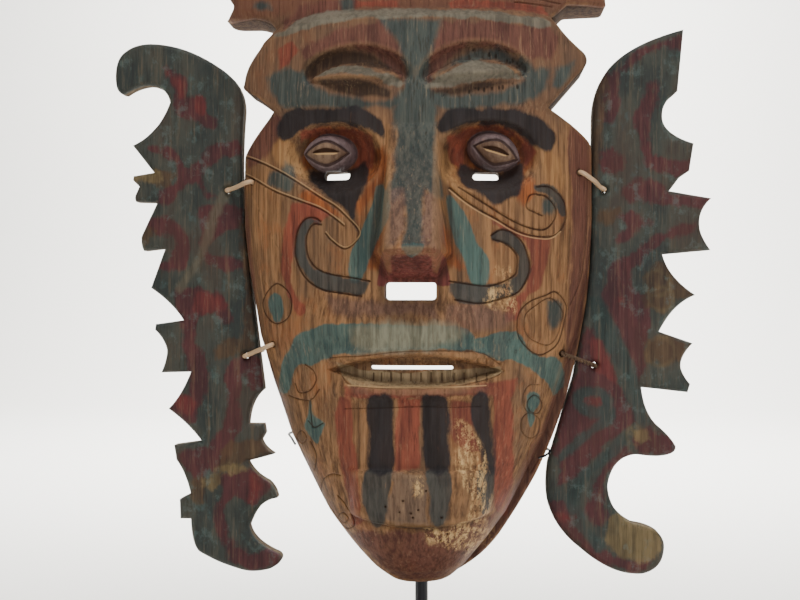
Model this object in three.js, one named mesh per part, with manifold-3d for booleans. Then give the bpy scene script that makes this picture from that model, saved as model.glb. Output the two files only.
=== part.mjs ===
// A carved and painted wooden mask with two openwork ear boards lashed on, held up on a rod and foot.
//
// Millimetres, +Z up, the face looks along -Y. The origin is the middle of the foot's underside.
// Carving is given as x (from the middle line), h (above the chin tip) and d (in front of the rim).

import * as THREE from 'three';
import * as BufferGeometryUtils from 'three/addons/utils/BufferGeometryUtils.js';
import Module from 'manifold-3d';

const wasm = await Module();
wasm.setup();

// Driving dimensions

const FOOT_WIDTH = 180;
const FOOT_DEPTH = 140;
const FOOT_THICKNESS = 10;
const FOOT_BEVEL = 1.5;

const ROD_DIAMETER = 8;
const ROD_X = 2;
const ROD_BEND_RADIUS = 14;
const ROD_REST_HEIGHT = 112;

const CHIN_LIFT = 74;
const RIM_SETBACK = 14;
const CONTACT_GAP = 0.4;

const FACE_HALF_WIDTH = 106;
const CROWN_HALF_WIDTH = 117;
const CROWN_TOP = 390;
const CHEEK_EDGE = 12;
const BAND_EDGE = 25;
const WALL = 13;
const HOLLOW = { bottom: 12, top: 350 };
const RIM_WIDTH = 10;

const EAR_THICKNESS = 11;
const EAR_BEVEL = 1.6;
const EAR_GAP = 1;

const LASHING_HOLE = 5.2;
const RATTAN_DIAMETER = 2.8;
const CORD_DIAMETER = 3;

const WIRE_DIAMETER = 1.6;

// Features of the face, each with its own sizes

const NOSE = { tipHeight: 198, tipDepth: 88, baseHeight: 182, baseDepth: 56, rootHeight: 268, halfWidth: 14, flare: 9 };
const SEPTUM_SLOT = { x: -1.5, height: 176.5, width: 29, tall: 10 };
const MOUTH = { x: 1, height: 132, halfLength: 51, opening: 10, slitLength: 47, slitTall: 2.6, slitHeight: 133 };
const BOSS = { x: 3, bottom: 43, top: 74.5, halfWidth: 34, rise: 7 };
const LEDGE = { height: 333, rise: 7.5, step: 8, leftDrop: 10, rightDrop: 4 };
const SOCKET = { height: 252, halfWidth: 29, halfTall: 21, depth: 15 };
const EYES = [
  { x: -49, height: 256.5, halfLength: 15.6, halfTall: 11, tilt: 0, slotX: -45, slotHeight: 243.5 },
  { x: 45.5, height: 256.5, halfLength: 15.8, halfTall: 11, tilt: -17, slotX: 41, slotHeight: 242.5 }
];
const KNOB = { sink: 13, rise: 13 };
const EYE_SLOT = { width: 15, tall: 5 };
const LEAVES = [
  { x: -32.5, height: 298, halfLength: 27.5, halfTall: 9.5, tilt: 0 },
  { x: 34.5, height: 299, halfLength: 29, halfTall: 9.5, tilt: 4 }
];
const LEAF = { sink: 3, rise: 9 };
const ARCH = { rise: 19, halfLength: 32, depth: 5 };

// Heights along the middle line: depth of the plain barrel, and half widths that shape it

const CENTRE_DEPTH = [
  [0, 12], [5, 29], [14, 40], [26, 48], [42, 54], [80, 59], [120, 60], [180, 58], [240, 58], [284, 57], [333, 53],
  [CROWN_TOP, 50]
];
const HALF_WIDTH = [
  [0, 12], [6, 22], [14, 30], [30, 43], [45, 54], [91, 77], [150, 96], [190, 103], [217, FACE_HALF_WIDTH],
  [262, FACE_HALF_WIDTH], [330, FACE_HALF_WIDTH], [345, CROWN_HALF_WIDTH], [CROWN_TOP, CROWN_HALF_WIDTH]
];

// Outlines. Two numbers are the end of a straight stretch, four are a bend's control point and its end

const FACE_OUTLINE = [
  [0.5, 0], [-14, 4.5, -27, 16.5], [-40, 28.5, -53, 46.5], [-64.5, 63, -75.5, 91], [-88, 117.5, -95.5, 150],
  [-102.5, 180.5, -105.5, 217.5], [-108, 248, -104.5, 259], [-94.5, 270, -82.5, 281.5], [-91, 290.5, -101, 296],
  [-104, 297.5, -102, 301], [-101, 309, -92, 318], [-82.5, 331.5], [-85, 338, -97, 340], [-106, 340],
  [-113, 338, -116, 341.5], [-110, 345, -110, 349], [-117, 358, -116, 364], [-113, 371, -104, 372],
  [-97, 371, -92, 366.5], [-72, 366, -46, 380], [-24, 382, 0, CROWN_TOP], [24, 382, 46, 380], [72, 366, 92, 366.5],
  [97, 371, 104, 372], [113, 371, 116, 364], [117, 358, 111.5, 349], [112, 345], [111.5, 342.5, 108, 343.5],
  [99, 345.5, 88.5, 344.5], [78.5, 334.5], [86.5, 322.5, 97.5, 315.5], [101.5, 312, 99, 307.5], [76.5, 281.5],
  [90.5, 274.5, 102, 265.5], [104.5, 263, 104.5, 257], [104.5, 207.5], [104, 177.5, 99.5, 156.5], [96, 134.5, 88.5, 108.5],
  [81.7, 87.3, 72.2, 67.3], [62.6, 49.2, 50, 30.5], [39.5, 16, 23, 7], [13, 2, 0.5, 0]
];
const LEFT_EAR_OUTLINE = [
  [-177, 267.5], [-160.5, 275, -153.5, 294], [-155, 303, -165.5, 305], [-174, 305, -182, 299.5],
  [-187.5, 299, -188, 309], [-188.5, 321.5, -181.5, 326], [-175.5, 330.5, -166, 330.5], [-143.5, 330, -121.5, 314.5],
  [-107, 305, -107, 289], [-110.5, 256, -109, 231], [-104, 181], [-95, 116.5], [-103.5, 110, -104.5, 95], [-95, 95],
  [-94, 89.5], [-96.5, 85], [-95, 80, -88.5, 76.5], [-105, 72], [-101.5, 64, -92, 59.5],
  [-87, 55, -86.5, 49.5], [-98.5, 48, -104, 32], [-102.5, 22, -85.5, 15], [-80.5, 11, -90.5, 6], [-101.5, 2.3, -112, 6],
  [-124.5, 9.5, -135.5, 16], [-140, 21, -140.5, 36], [-147, 36], [-147.5, 48], [-140.5, 51.5],
  [-143.5, 64.5, -149.5, 72.5], [-150, 76, -151, 81.5], [-133.5, 84], [-141, 94.5, -154.5, 104],
  [-145.5, 113, -140.5, 127], [-159, 126.5], [-155, 135.5, -155.5, 141], [-157.5, 148, -163, 153], [-162.5, 156.5],
  [-145, 159], [-151.5, 169.5, -165.5, 179], [-156.5, 203.5], [-170, 202], [-172, 205, -171.5, 211], [-161.5, 232],
  [-175, 232.5], [-176.5, 235, -175, 237.5], [-173, 242], [-177, 246], [-176.5, 248.5], [-163.5, 250.5]
];
const RIGHT_EAR_OUTLINE = [
  [160, 334], [156.5, 297], [152, 293], [147, 288.5, 147.5, 281], [148, 271.5, 166, 265.5], [163.5, 249], [157.5, 245],
  [151.5, 237], [176.5, 232.5], [168.5, 225.5, 169.5, 215.5], [170, 209.5, 176, 201.5], [147.5, 199],
  [151, 185, 167, 174.5], [154, 169.5, 145.5, 152.5], [165.5, 145.5], [157.5, 137.5, 158.5, 130.5],
  [160, 125.5, 164, 121], [162.5, 116], [135, 119], [136.5, 104, 144, 96.5], [152.5, 89.5, 155.5, 83.5],
  [156, 78, 144, 77.5], [138.5, 77.5, 132, 78.5], [117.5, 77, 115, 59.5], [115.5, 44, 129.5, 37],
  [140.5, 35.5, 145, 31.5], [149.5, 27, 148.5, 21], [147.5, 9, 135, 6.5], [117.5, 5, 98, 22], [85.5, 31.5, 80.5, 44.5],
  [76.5, 54.5, 79.1, 73], [86.1, 94.5], [96, 125.5], [101, 153], [104.5, 177.5], [106.5, 202], [106.5, 281.5],
  [106.5, 299, 115.5, 311], [128, 326, 160, 334]
];

// Lashings: the hole in the ear, the hole in the face

const LASHINGS = [
  { name: 'tie_upper_left', ear: [-117, 239], face: [-98, 242], diameter: RATTAN_DIAMETER },
  { name: 'tie_lower_left', ear: [-106, 137], face: [-85, 145], diameter: RATTAN_DIAMETER },
  { name: 'tie_upper_right', ear: [112.5, 238], face: [96, 246], diameter: RATTAN_DIAMETER },
  { name: 'tie_lower_right', ear: [107, 132], face: [86, 140], diameter: CORD_DIAMETER }
];
const WIRE = { leftX: -76.5, leftHeight: 89, rightX: 78.1, rightHeight: 80, bite: 5 };

// Small helpers

const clamp01 = (value) => Math.min(1, Math.max(0, value));

function step(from, to, value) {
  const t = clamp01((value - from) / (to - from));
  return t * t * (3 - 2 * t);
}

function along(table, value) {
  for (let i = 1; i < table.length; i++) {
    if (value <= table[i][0]) {
      const [x0, y0] = table[i - 1];
      const [x1, y1] = table[i];
      return y0 + (y1 - y0) * clamp01((value - x0) / (x1 - x0));
    }
  }
  return table[table.length - 1][1];
}

// How far a place is from the middle of an oval, with 1 on its edge
function ovalReach(x, h, oval, halfLength, halfTall) {
  const turn = THREE.MathUtils.degToRad(oval.tilt ?? 0);
  const dx = x - oval.x;
  const dh = h - oval.height;
  const u = dx * Math.cos(turn) + dh * Math.sin(turn);
  const v = dh * Math.cos(turn) - dx * Math.sin(turn);
  return [u / halfLength, v / halfTall];
}

// The carving, as a depth in front of the rim

function archDrop(x) {
  const drop = x < 0 ? LEDGE.leftDrop : LEDGE.rightDrop;
  return drop * Math.pow(Math.min(1, Math.abs(x) / 86), 4);
}

function barrelDepth(x, h) {
  const edge = CHEEK_EDGE + (BAND_EDGE - CHEEK_EDGE) * step(276, 287, h);
  const reach = clamp01(Math.abs(x) / along(HALF_WIDTH, h));
  const round = Math.pow(1 - Math.pow(reach, 2.4), 0.6);
  const centre = along(CENTRE_DEPTH, h);
  return Math.min(edge, centre) + Math.max(0, centre - edge) * round;
}

function ledgeCut(x, h) {
  const level = h + archDrop(x);
  return LEDGE.step * clamp01((level - LEDGE.height) / LEDGE.rise);
}

function archCut(x, h) {
  let cut = 0;
  for (const leaf of LEAVES) {
    const [u, v] = ovalReach(x, h, leaf, ARCH.halfLength, ARCH.rise);
    const inside = 1 - u * u - v * v;
    const above = step(-0.25, 0.1, v);
    cut = Math.max(cut, ARCH.depth * clamp01(inside * 4) * above);
  }
  return cut;
}

function socketCut(x, h) {
  let cut = 0;
  for (const eye of EYES) {
    const inward = Math.sign(eye.x);
    const middle = { x: eye.x - inward * 2, height: SOCKET.height };
    const [u, v] = ovalReach(x, h, middle, SOCKET.halfWidth, SOCKET.halfTall);
    const inner = 0.35 * clamp01(-u * inward);
    const inside = clamp01(1 - Math.pow(Math.abs(u), 2.4) - v * v);
    const soft = 0.6 + 0.9 * Math.max(0, -v) + 0.5 * Math.max(0, u * inward);
    cut = Math.max(cut, SOCKET.depth * Math.pow(inside, soft) * (1 + inner));
  }
  return cut;
}

function noseDepth(x, h) {
  const ridge = along(
    [[NOSE.baseHeight - 4, 0], [NOSE.baseHeight, NOSE.baseDepth], [NOSE.tipHeight, NOSE.tipDepth], [250, 64],
      [NOSE.rootHeight, 59], [CROWN_TOP, 0]],
    h
  );
  const side = (Math.abs(x) - NOSE.halfWidth) / NOSE.flare;
  return ridge - 30 * clamp01(side) - (side > 1 ? 100 : 0);
}

function mouthShape(x, h) {
  const u = (x - MOUTH.x) / MOUTH.halfLength;
  const open = MOUTH.opening * Math.max(0, 1 - u * u);
  const v = h - MOUTH.height;
  const across = clamp01(1 - u * u);
  const upperLip = 5 * Math.exp(-Math.pow((v - 8) / 4, 2)) * Math.sqrt(across);
  const lowerLip = 3.5 * Math.exp(-Math.pow((v + 12) / 4, 2)) * Math.sqrt(across);
  const moustache = 5 * Math.exp(-Math.pow((v - 24) / 13, 2)) * Math.sqrt(clamp01(1 - Math.pow(x / 75, 2)));
  const gape = 6 * clamp01((open - Math.abs(v + 0.5)) / 2.5);
  return upperLip + lowerLip + moustache - gape;
}

function bossRise(x, h) {
  const across = step(BOSS.halfWidth + 10, BOSS.halfWidth, Math.abs(x - BOSS.x));
  const bow = 4 * Math.pow((x - BOSS.x) / BOSS.halfWidth, 2);
  const up = clamp01((h - BOSS.bottom - bow + 1) / 2) * (1 - 0.6 * clamp01((h - BOSS.top) / 2));
  return BOSS.rise * across * up * step(BOSS.top + 36, BOSS.top, h);
}

function frontDepth(x, h) {
  const carved = barrelDepth(x, h) - ledgeCut(x, h) - archCut(x, h) - socketCut(x, h)
    + mouthShape(x, h) + bossRise(x, h);
  return Math.max(CHEEK_EDGE - 2, carved, noseDepth(x, h));
}

// The hollow behind the face, deeper than nought only inside the rim
function hollowHalfWidth(h) {
  const widest = FACE_HALF_WIDTH - RIM_WIDTH - 25 * step(240, 278, h);
  return Math.max(1, Math.min(along(HALF_WIDTH, h) - RIM_WIDTH, widest));
}

function hollowDepth(x, h) {
  const reach = Math.abs(x) / hollowHalfWidth(h);
  const ends = Math.min(1, (h - HOLLOW.bottom) / 40, (HOLLOW.top - h) / 26);
  if (reach >= 1 || ends <= 0) {
    return -3;
  }
  const eyes = EYES.map((eye) => Math.exp(-Math.pow((x - eye.x) / 26, 2) - Math.pow((h - SOCKET.height) / 22, 2)));
  const spared = 11 * Math.max(...eyes);
  const centre = along(CENTRE_DEPTH, h) - WALL;
  const round = Math.pow(1 - Math.pow(reach, 2.4), 0.6) * Math.sqrt(ends);
  return Math.max(-3, centre * round - spared);
}

// Solids

function toManifold(geometry) {
  const bare = geometry.clone();
  bare.deleteAttribute('normal');
  bare.deleteAttribute('uv');
  const merged = BufferGeometryUtils.mergeVertices(bare, 1e-4);
  const mesh = new wasm.Mesh({
    numProp: 3,
    vertProperties: new Float32Array(merged.attributes.position.array),
    triVerts: new Uint32Array(merged.index.array)
  });
  return new wasm.Manifold(mesh);
}

function fromManifold(solid) {
  const mesh = solid.getMesh();
  const geometry = new THREE.BufferGeometry();
  geometry.setAttribute('position', new THREE.BufferAttribute(new Float32Array(mesh.vertProperties), 3));
  geometry.setIndex(new THREE.BufferAttribute(new Uint32Array(mesh.triVerts), 1));
  geometry.computeVertexNormals();
  return geometry;
}

// A closed block between a front surface on a grid and a flat back
function gridBlock(columns, rows, placeAt, depthAt, backDepth) {
  const positions = [];
  const index = [];
  const wide = columns.length;
  for (const row of rows) {
    for (const column of columns) {
      const [x, h] = placeAt(column, row);
      positions.push(x, -depthAt(x, h), h);
    }
  }
  for (let j = 0; j < rows.length - 1; j++) {
    for (let i = 0; i < wide - 1; i++) {
      const a = j * wide + i;
      index.push(a, a + 1, a + wide + 1, a, a + wide + 1, a + wide);
    }
  }
  const rim = [];
  for (let i = 0; i < wide; i++) {
    rim.push(i);
  }
  for (let j = 1; j < rows.length; j++) {
    rim.push(j * wide + wide - 1);
  }
  for (let i = wide - 2; i >= 0; i--) {
    rim.push((rows.length - 1) * wide + i);
  }
  for (let j = rows.length - 2; j > 0; j--) {
    rim.push(j * wide);
  }
  const firstBack = positions.length / 3;
  for (const v of rim) {
    positions.push(positions[3 * v], -backDepth, positions[3 * v + 2]);
  }
  const hub = positions.length / 3;
  positions.push((columns[0] + columns[wide - 1]) / 2, -backDepth, (rows[0] + rows[rows.length - 1]) / 2);
  for (let k = 0; k < rim.length; k++) {
    const next = (k + 1) % rim.length;
    index.push(rim[k], firstBack + k, firstBack + next, rim[k], firstBack + next, rim[next]);
    index.push(hub, firstBack + next, firstBack + k);
  }
  const geometry = new THREE.BufferGeometry();
  geometry.setAttribute('position', new THREE.Float32BufferAttribute(positions, 3));
  geometry.setIndex(index);
  return geometry;
}

function outlineShape(outline) {
  const shape = new THREE.Shape();
  outline.forEach((part, i) => {
    if (i === 0) {
      shape.moveTo(part[0], part[1]);
    } else if (part.length === 2) {
      shape.lineTo(part[0], part[1]);
    } else {
      shape.quadraticCurveTo(part[0], part[1], part[2], part[3]);
    }
  });
  return shape;
}

// A board cut to an outline, standing upright with its front at the given depth
function board(outline, backDepth, thickness, bevel, grow) {
  const geometry = new THREE.ExtrudeGeometry(outlineShape(outline), {
    depth: thickness - 2 * bevel,
    steps: 1,
    curveSegments: 3,
    bevelEnabled: true,
    bevelThickness: bevel,
    bevelSize: grow > 0 ? 0 : bevel,
    bevelOffset: grow > 0 ? grow : -bevel,
    bevelSegments: 1
  });
  geometry.rotateX(Math.PI / 2);
  geometry.translate(0, -backDepth - bevel, 0);
  return geometry;
}

// A round bar through the wood, front to back
function drill(x, h, diameter) {
  const geometry = new THREE.CylinderGeometry(diameter / 2, diameter / 2, 160, 10);
  geometry.translate(x, -60, h);
  return toManifold(geometry);
}

// A slot with rounded ends or corners, cut through front to back
function slotCutter(x, h, width, tall, corner) {
  const shape = new THREE.Shape();
  const w = width / 2;
  const t = tall / 2;
  const r = Math.min(corner, w - 0.01, t - 0.01);
  shape.moveTo(-w + r, -t);
  shape.lineTo(w - r, -t);
  shape.absarc(w - r, -t + r, r, -Math.PI / 2, 0, false);
  shape.lineTo(w, t - r);
  shape.absarc(w - r, t - r, r, 0, Math.PI / 2, false);
  shape.lineTo(-w + r, t);
  shape.absarc(-w + r, t - r, r, Math.PI / 2, Math.PI, false);
  shape.lineTo(-w, -t + r);
  shape.absarc(-w + r, -t + r, r, Math.PI, 1.5 * Math.PI, false);
  const geometry = new THREE.ExtrudeGeometry(shape, { depth: 160, bevelEnabled: false, curveSegments: 3 });
  geometry.rotateX(Math.PI / 2);
  geometry.translate(x, 20, h);
  return toManifold(geometry);
}

function spread(from, to, count) {
  return Array.from({ length: count }, (_, i) => from + ((to - from) * i) / count);
}

function faceColumns() {
  const half = [
    ...spread(0, NOSE.halfWidth, 2), ...spread(NOSE.halfWidth, NOSE.halfWidth + NOSE.flare, 2),
    ...spread(NOSE.halfWidth + NOSE.flare, 76, 10), ...spread(76, 106, 4), 106, CROWN_HALF_WIDTH + 2
  ];
  return [...half.slice(1).reverse().map((x) => -x), ...half];
}

function faceRows() {
  return [
    ...spread(-2, 42, 7), ...spread(42, 45, 1), ...spread(45, BOSS.top, 3), ...spread(BOSS.top, BOSS.top + 2, 1),
    ...spread(BOSS.top + 2, 116, 4), ...spread(116, 150, 12), ...spread(150, NOSE.baseHeight - 2, 3),
    ...spread(NOSE.baseHeight - 2, NOSE.baseHeight, 1), ...spread(NOSE.baseHeight, NOSE.tipHeight, 2),
    ...spread(NOSE.tipHeight, 230, 3), ...spread(230, 274, 8), ...spread(274, 288, 3), ...spread(288, 320, 5),
    ...spread(320, LEDGE.height, 2), ...spread(LEDGE.height, LEDGE.height + LEDGE.rise, 1),
    ...spread(LEDGE.height + LEDGE.rise, CROWN_TOP + 2, 3), CROWN_TOP + 2
  ];
}

// Rows follow the bow of the ledge near it
function facePlace(x, row) {
  const follow = step(316, 330, row) * step(CROWN_TOP, 345, row);
  return [x, row - archDrop(x) * follow];
}

// A raised eye, egg-shaped and partly sunk in its socket
function makeKnob(eye) {
  const geometry = new THREE.SphereGeometry(1, 16, 10);
  geometry.scale(eye.halfLength, KNOB.sink, eye.halfTall);
  geometry.rotateY(THREE.MathUtils.degToRad(-eye.tilt));
  geometry.translate(eye.x, -barrelDepth(eye.x, eye.height) + KNOB.sink - 1, eye.height);
  return toManifold(geometry);
}

// A brow leaf, pointed at both ends, with a ridge along its front
function makeLeaf(leaf) {
  const profile = spread(-1, 1, 10).concat(1).map((u) => new THREE.Vector2(1 - u * u, u));
  profile[0].x = 0;
  const inner = barrelDepth(leaf.x - leaf.halfLength * 0.8, leaf.height);
  const outer = barrelDepth(leaf.x + leaf.halfLength * 0.8, leaf.height);
  const geometry = new THREE.LatheGeometry(profile, 4);
  geometry.scale(leaf.halfTall, leaf.halfLength, LEAF.rise);
  geometry.rotateX(Math.PI / 2);
  geometry.rotateY(Math.PI / 2);
  geometry.rotateZ(-Math.atan2(outer - inner, leaf.halfLength * 1.6));
  geometry.rotateY(THREE.MathUtils.degToRad(-leaf.tilt));
  geometry.translate(leaf.x, -barrelDepth(leaf.x, leaf.height) + LEAF.sink, leaf.height);
  return toManifold(geometry);
}

function makeFace() {
  let front = toManifold(gridBlock(faceColumns(), faceRows(), facePlace, frontDepth, 0));
  for (const raised of [...EYES.map(makeKnob), ...LEAVES.map(makeLeaf)]) {
    front = front.add(raised);
  }
  const outer = toManifold(board(FACE_OUTLINE, -4, 130, 0.5, 0.001));
  const shares = [-1.08, ...spread(-1, 1, 12), 1, 1.08];
  const rows = [...spread(HOLLOW.bottom - 2, HOLLOW.top + 2, 22), HOLLOW.top + 2];
  const hollowPlace = (share, row) => [share * hollowHalfWidth(row), row];
  const hollow = toManifold(gridBlock(shares, rows, hollowPlace, hollowDepth, -8));
  let solid = front.intersect(outer).subtract(hollow);
  for (const eye of EYES) {
    solid = solid.subtract(slotCutter(eye.slotX, eye.slotHeight, EYE_SLOT.width, EYE_SLOT.tall, 2));
  }
  solid = solid.subtract(slotCutter(SEPTUM_SLOT.x, SEPTUM_SLOT.height, SEPTUM_SLOT.width, SEPTUM_SLOT.tall, 2));
  solid = solid.subtract(slotCutter(MOUTH.x - 2, MOUTH.slitHeight, MOUTH.slitLength, MOUTH.slitTall, 1.2));
  for (const tie of LASHINGS) {
    solid = solid.subtract(drill(tie.face[0], tie.face[1], LASHING_HOLE));
  }
  return fromManifold(solid);
}

function makeEar(outline, ties) {
  const blank = toManifold(board(outline, 0, EAR_THICKNESS, EAR_BEVEL, 0));
  const keepOut = toManifold(board(FACE_OUTLINE, -4, 130, 0.5, EAR_GAP));
  let solid = blank.subtract(keepOut);
  for (const tie of ties) {
    solid = solid.subtract(drill(tie.ear[0], tie.ear[1], LASHING_HOLE));
  }
  return fromManifold(solid);
}

function tube(points, diameter, segments, sides) {
  const path = new THREE.CatmullRomCurve3(points, false, 'centripetal');
  const ring = new THREE.Shape();
  ring.absarc(0, 0, diameter / 2, 0, 2 * Math.PI, false);
  return new THREE.ExtrudeGeometry(ring, {
    steps: segments, bevelEnabled: false, curveSegments: sides, extrudePath: path
  });
}

// A lashing goes down one hole, across the front, down the other hole, and meets itself at the back
function makeTie(tie) {
  const radius = tie.diameter / 2 + CONTACT_GAP;
  const [earX, earH] = tie.ear;
  const [faceX, faceH] = tie.face;
  const earFront = -EAR_THICKNESS - radius - 0.4;
  const faceFront = -frontDepth(faceX - 3 * Math.sign(faceX), faceH) - radius;
  const back = radius + 0.6;
  const at = (t, y) => new THREE.Vector3(earX + (faceX - earX) * t, y, earH + (faceH - earH) * t);
  const edge = (Math.abs(earX) - along(HALF_WIDTH, earH)) / (Math.abs(earX) - Math.abs(faceX));
  const over = (t) => {
    const ahead = Math.min(1, t + 0.14);
    return at(t, Math.min(earFront, -frontDepth(earX + (faceX - earX) * ahead, faceH) - radius) - 1.2);
  };
  const onFace = [0, 0.22, 0.48, 0.76].map((share) => over(edge + share * (1 - edge)));
  return tube(
    [
      at(0.42, back), at(0.2, back), at(0, back - 2), at(0, earFront / 2), at(0, earFront + 1), at(0.16, earFront),
      ...onFace, at(1, faceFront + 1), at(1, faceFront / 2), at(1, back - 2), at(0.8, back), at(0.58, back)
    ],
    tie.diameter, 24, 3
  );
}

function makeRod() {
  const y = ROD_DIAMETER / 2 + CONTACT_GAP;
  const foot = -CHIN_LIFT + FOOT_THICKNESS + CONTACT_GAP;
  const restY = -hollowDepth(ROD_X, ROD_REST_HEIGHT) + 2;
  const bendHeight = ROD_REST_HEIGHT - ROD_BEND_RADIUS;
  const bend = new THREE.QuadraticBezierCurve3(
    new THREE.Vector3(ROD_X, y, bendHeight - 1), new THREE.Vector3(ROD_X, y, ROD_REST_HEIGHT),
    new THREE.Vector3(ROD_X, y - ROD_BEND_RADIUS - 1, ROD_REST_HEIGHT)
  );
  const ring = new THREE.Shape();
  ring.absarc(0, 0, ROD_DIAMETER / 2 - 0.05, 0, 2 * Math.PI, false);
  const elbow = new THREE.ExtrudeGeometry(ring, {
    steps: 5, bevelEnabled: false, curveSegments: 6, extrudePath: bend
  });
  const upright = new THREE.CylinderGeometry(ROD_DIAMETER / 2, ROD_DIAMETER / 2, bendHeight - foot, 12);
  upright.rotateX(Math.PI / 2);
  upright.translate(ROD_X, y, (bendHeight + foot) / 2);
  const armLength = y - ROD_BEND_RADIUS - restY;
  const arm = new THREE.CylinderGeometry(ROD_DIAMETER / 2, ROD_DIAMETER / 2, armLength, 12);
  arm.translate(ROD_X, restY + armLength / 2, ROD_REST_HEIGHT);
  return fromManifold(toManifold(upright).add(toManifold(elbow)).add(toManifold(arm)));
}

// A thin wire hooked over both cheeks' edges, passing behind the rod
function makeWire() {
  const radius = WIRE_DIAMETER / 2 + CONTACT_GAP;
  const behindRod = ROD_DIAMETER + 2 * CONTACT_GAP + radius;
  const { leftX, leftHeight, rightX, rightHeight, bite } = WIRE;
  const frontY = (x, h) => -frontDepth(x, h) - radius;
  const at = (x, y, h) => new THREE.Vector3(x, y, h);
  const middle = (leftHeight + rightHeight) / 2;
  return tube(
    [
      at(leftX + bite, frontY(leftX + bite + 2, leftHeight) - 0.6, leftHeight - 3),
      at(leftX + 1, -CHEEK_EDGE - 8, leftHeight - 1), at(leftX - 2.4, -CHEEK_EDGE + 2, leftHeight),
      at(leftX - 2.4, -2, leftHeight), at(leftX + 1, radius + 0.6, leftHeight),
      at(leftX + 8, radius + 1, leftHeight), at(ROD_X - 14, behindRod, middle), at(ROD_X, behindRod, middle),
      at(ROD_X + 14, behindRod, middle), at(rightX - 8, radius + 1, rightHeight),
      at(rightX - 1, radius + 0.6, rightHeight), at(rightX + 2, -2, rightHeight),
      at(rightX + 2, -CHEEK_EDGE + 2, rightHeight), at(rightX - 1, -CHEEK_EDGE - 8, rightHeight - 1),
      at(rightX - bite, frontY(rightX - bite - 2, rightHeight) - 0.6, rightHeight - 3)
    ],
    WIRE_DIAMETER, 48, 2
  );
}

function makeFoot() {
  const w = FOOT_WIDTH / 2 - FOOT_BEVEL;
  const d = FOOT_DEPTH / 2 - FOOT_BEVEL;
  const shape = new THREE.Shape();
  shape.moveTo(-w, -d);
  shape.lineTo(w, -d);
  shape.lineTo(w, d);
  shape.lineTo(-w, d);
  const geometry = new THREE.ExtrudeGeometry(shape, {
    depth: FOOT_THICKNESS - 2 * FOOT_BEVEL,
    bevelEnabled: true,
    bevelThickness: FOOT_BEVEL,
    bevelSize: FOOT_BEVEL,
    bevelSegments: 1
  });
  geometry.translate(0, 0, FOOT_BEVEL);
  return geometry;
}

// The parts, put together

const paintedWood = new THREE.MeshStandardMaterial({ color: 0x7d5636, roughness: 0.75, metalness: 0 });
const earWood = new THREE.MeshStandardMaterial({ color: 0x4c3a36, roughness: 0.75, metalness: 0 });
const rattan = new THREE.MeshStandardMaterial({ color: 0xc8a078, roughness: 0.6, metalness: 0 });
const darkCord = new THREE.MeshStandardMaterial({ color: 0x3a2a24, roughness: 0.8, metalness: 0 });
const blackSteel = new THREE.MeshStandardMaterial({ color: 0x242427, roughness: 0.45, metalness: 0.6 });

const group = new THREE.Group();
group.name = 'tribal_mask';

function addPart(name, geometry, material, onMask) {
  const mesh = new THREE.Mesh(geometry, material.clone());
  mesh.name = name;
  if (onMask) {
    mesh.position.set(0, RIM_SETBACK, CHIN_LIFT);
  }
  group.add(mesh);
}

addPart('mask_face', makeFace(), paintedWood, true);
addPart('ear_left', makeEar(LEFT_EAR_OUTLINE, LASHINGS.slice(0, 2)), earWood, true);
addPart('ear_right', makeEar(RIGHT_EAR_OUTLINE, LASHINGS.slice(2, 4)), earWood, true);
for (const tie of LASHINGS) {
  addPart(tie.name, makeTie(tie), tie.diameter === CORD_DIAMETER ? darkCord : rattan, true);
}
addPart('stand_rod', makeRod(), blackSteel, true);
addPart('edge_wire', makeWire(), blackSteel, true);
addPart('foot_plate', makeFoot(), blackSteel, false);

export default group;
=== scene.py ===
"""A carved and painted wooden mask with two lashed ear boards, on a black rod and foot.

Lengths on the mask are millimetres: x from its middle line, h above the chin's tip, d in front of the rim.
"""

import math

import bmesh
import bpy
import numpy as np
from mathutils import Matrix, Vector
from mathutils.geometry import delaunay_2d_cdt


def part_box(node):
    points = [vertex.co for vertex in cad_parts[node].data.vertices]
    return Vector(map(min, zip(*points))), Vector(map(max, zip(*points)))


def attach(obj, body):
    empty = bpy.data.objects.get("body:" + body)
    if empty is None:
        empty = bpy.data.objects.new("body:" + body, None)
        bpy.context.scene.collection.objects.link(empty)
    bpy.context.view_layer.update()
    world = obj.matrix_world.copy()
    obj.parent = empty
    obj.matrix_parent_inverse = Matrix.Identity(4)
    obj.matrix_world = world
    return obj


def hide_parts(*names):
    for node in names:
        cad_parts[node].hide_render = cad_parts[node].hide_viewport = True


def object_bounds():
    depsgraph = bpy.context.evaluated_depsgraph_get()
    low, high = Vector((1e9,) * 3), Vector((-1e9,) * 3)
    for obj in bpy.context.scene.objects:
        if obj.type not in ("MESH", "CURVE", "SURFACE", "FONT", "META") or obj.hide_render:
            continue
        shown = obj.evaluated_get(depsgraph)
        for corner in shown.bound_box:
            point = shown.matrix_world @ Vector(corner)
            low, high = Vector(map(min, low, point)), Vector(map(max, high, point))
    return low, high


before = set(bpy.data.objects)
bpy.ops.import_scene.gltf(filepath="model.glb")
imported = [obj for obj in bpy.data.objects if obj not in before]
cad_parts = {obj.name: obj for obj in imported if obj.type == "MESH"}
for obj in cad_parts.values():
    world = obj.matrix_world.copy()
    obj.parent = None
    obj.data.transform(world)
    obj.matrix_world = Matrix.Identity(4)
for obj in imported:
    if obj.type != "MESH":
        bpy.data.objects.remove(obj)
CAD_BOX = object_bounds()

MM = 0.001
MASK_LOW, MASK_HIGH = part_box("mask_face")
RIM_Y = MASK_HIGH.y
CHIN_Z = MASK_LOW.z

# Sizes of the carving, as in the part

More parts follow.
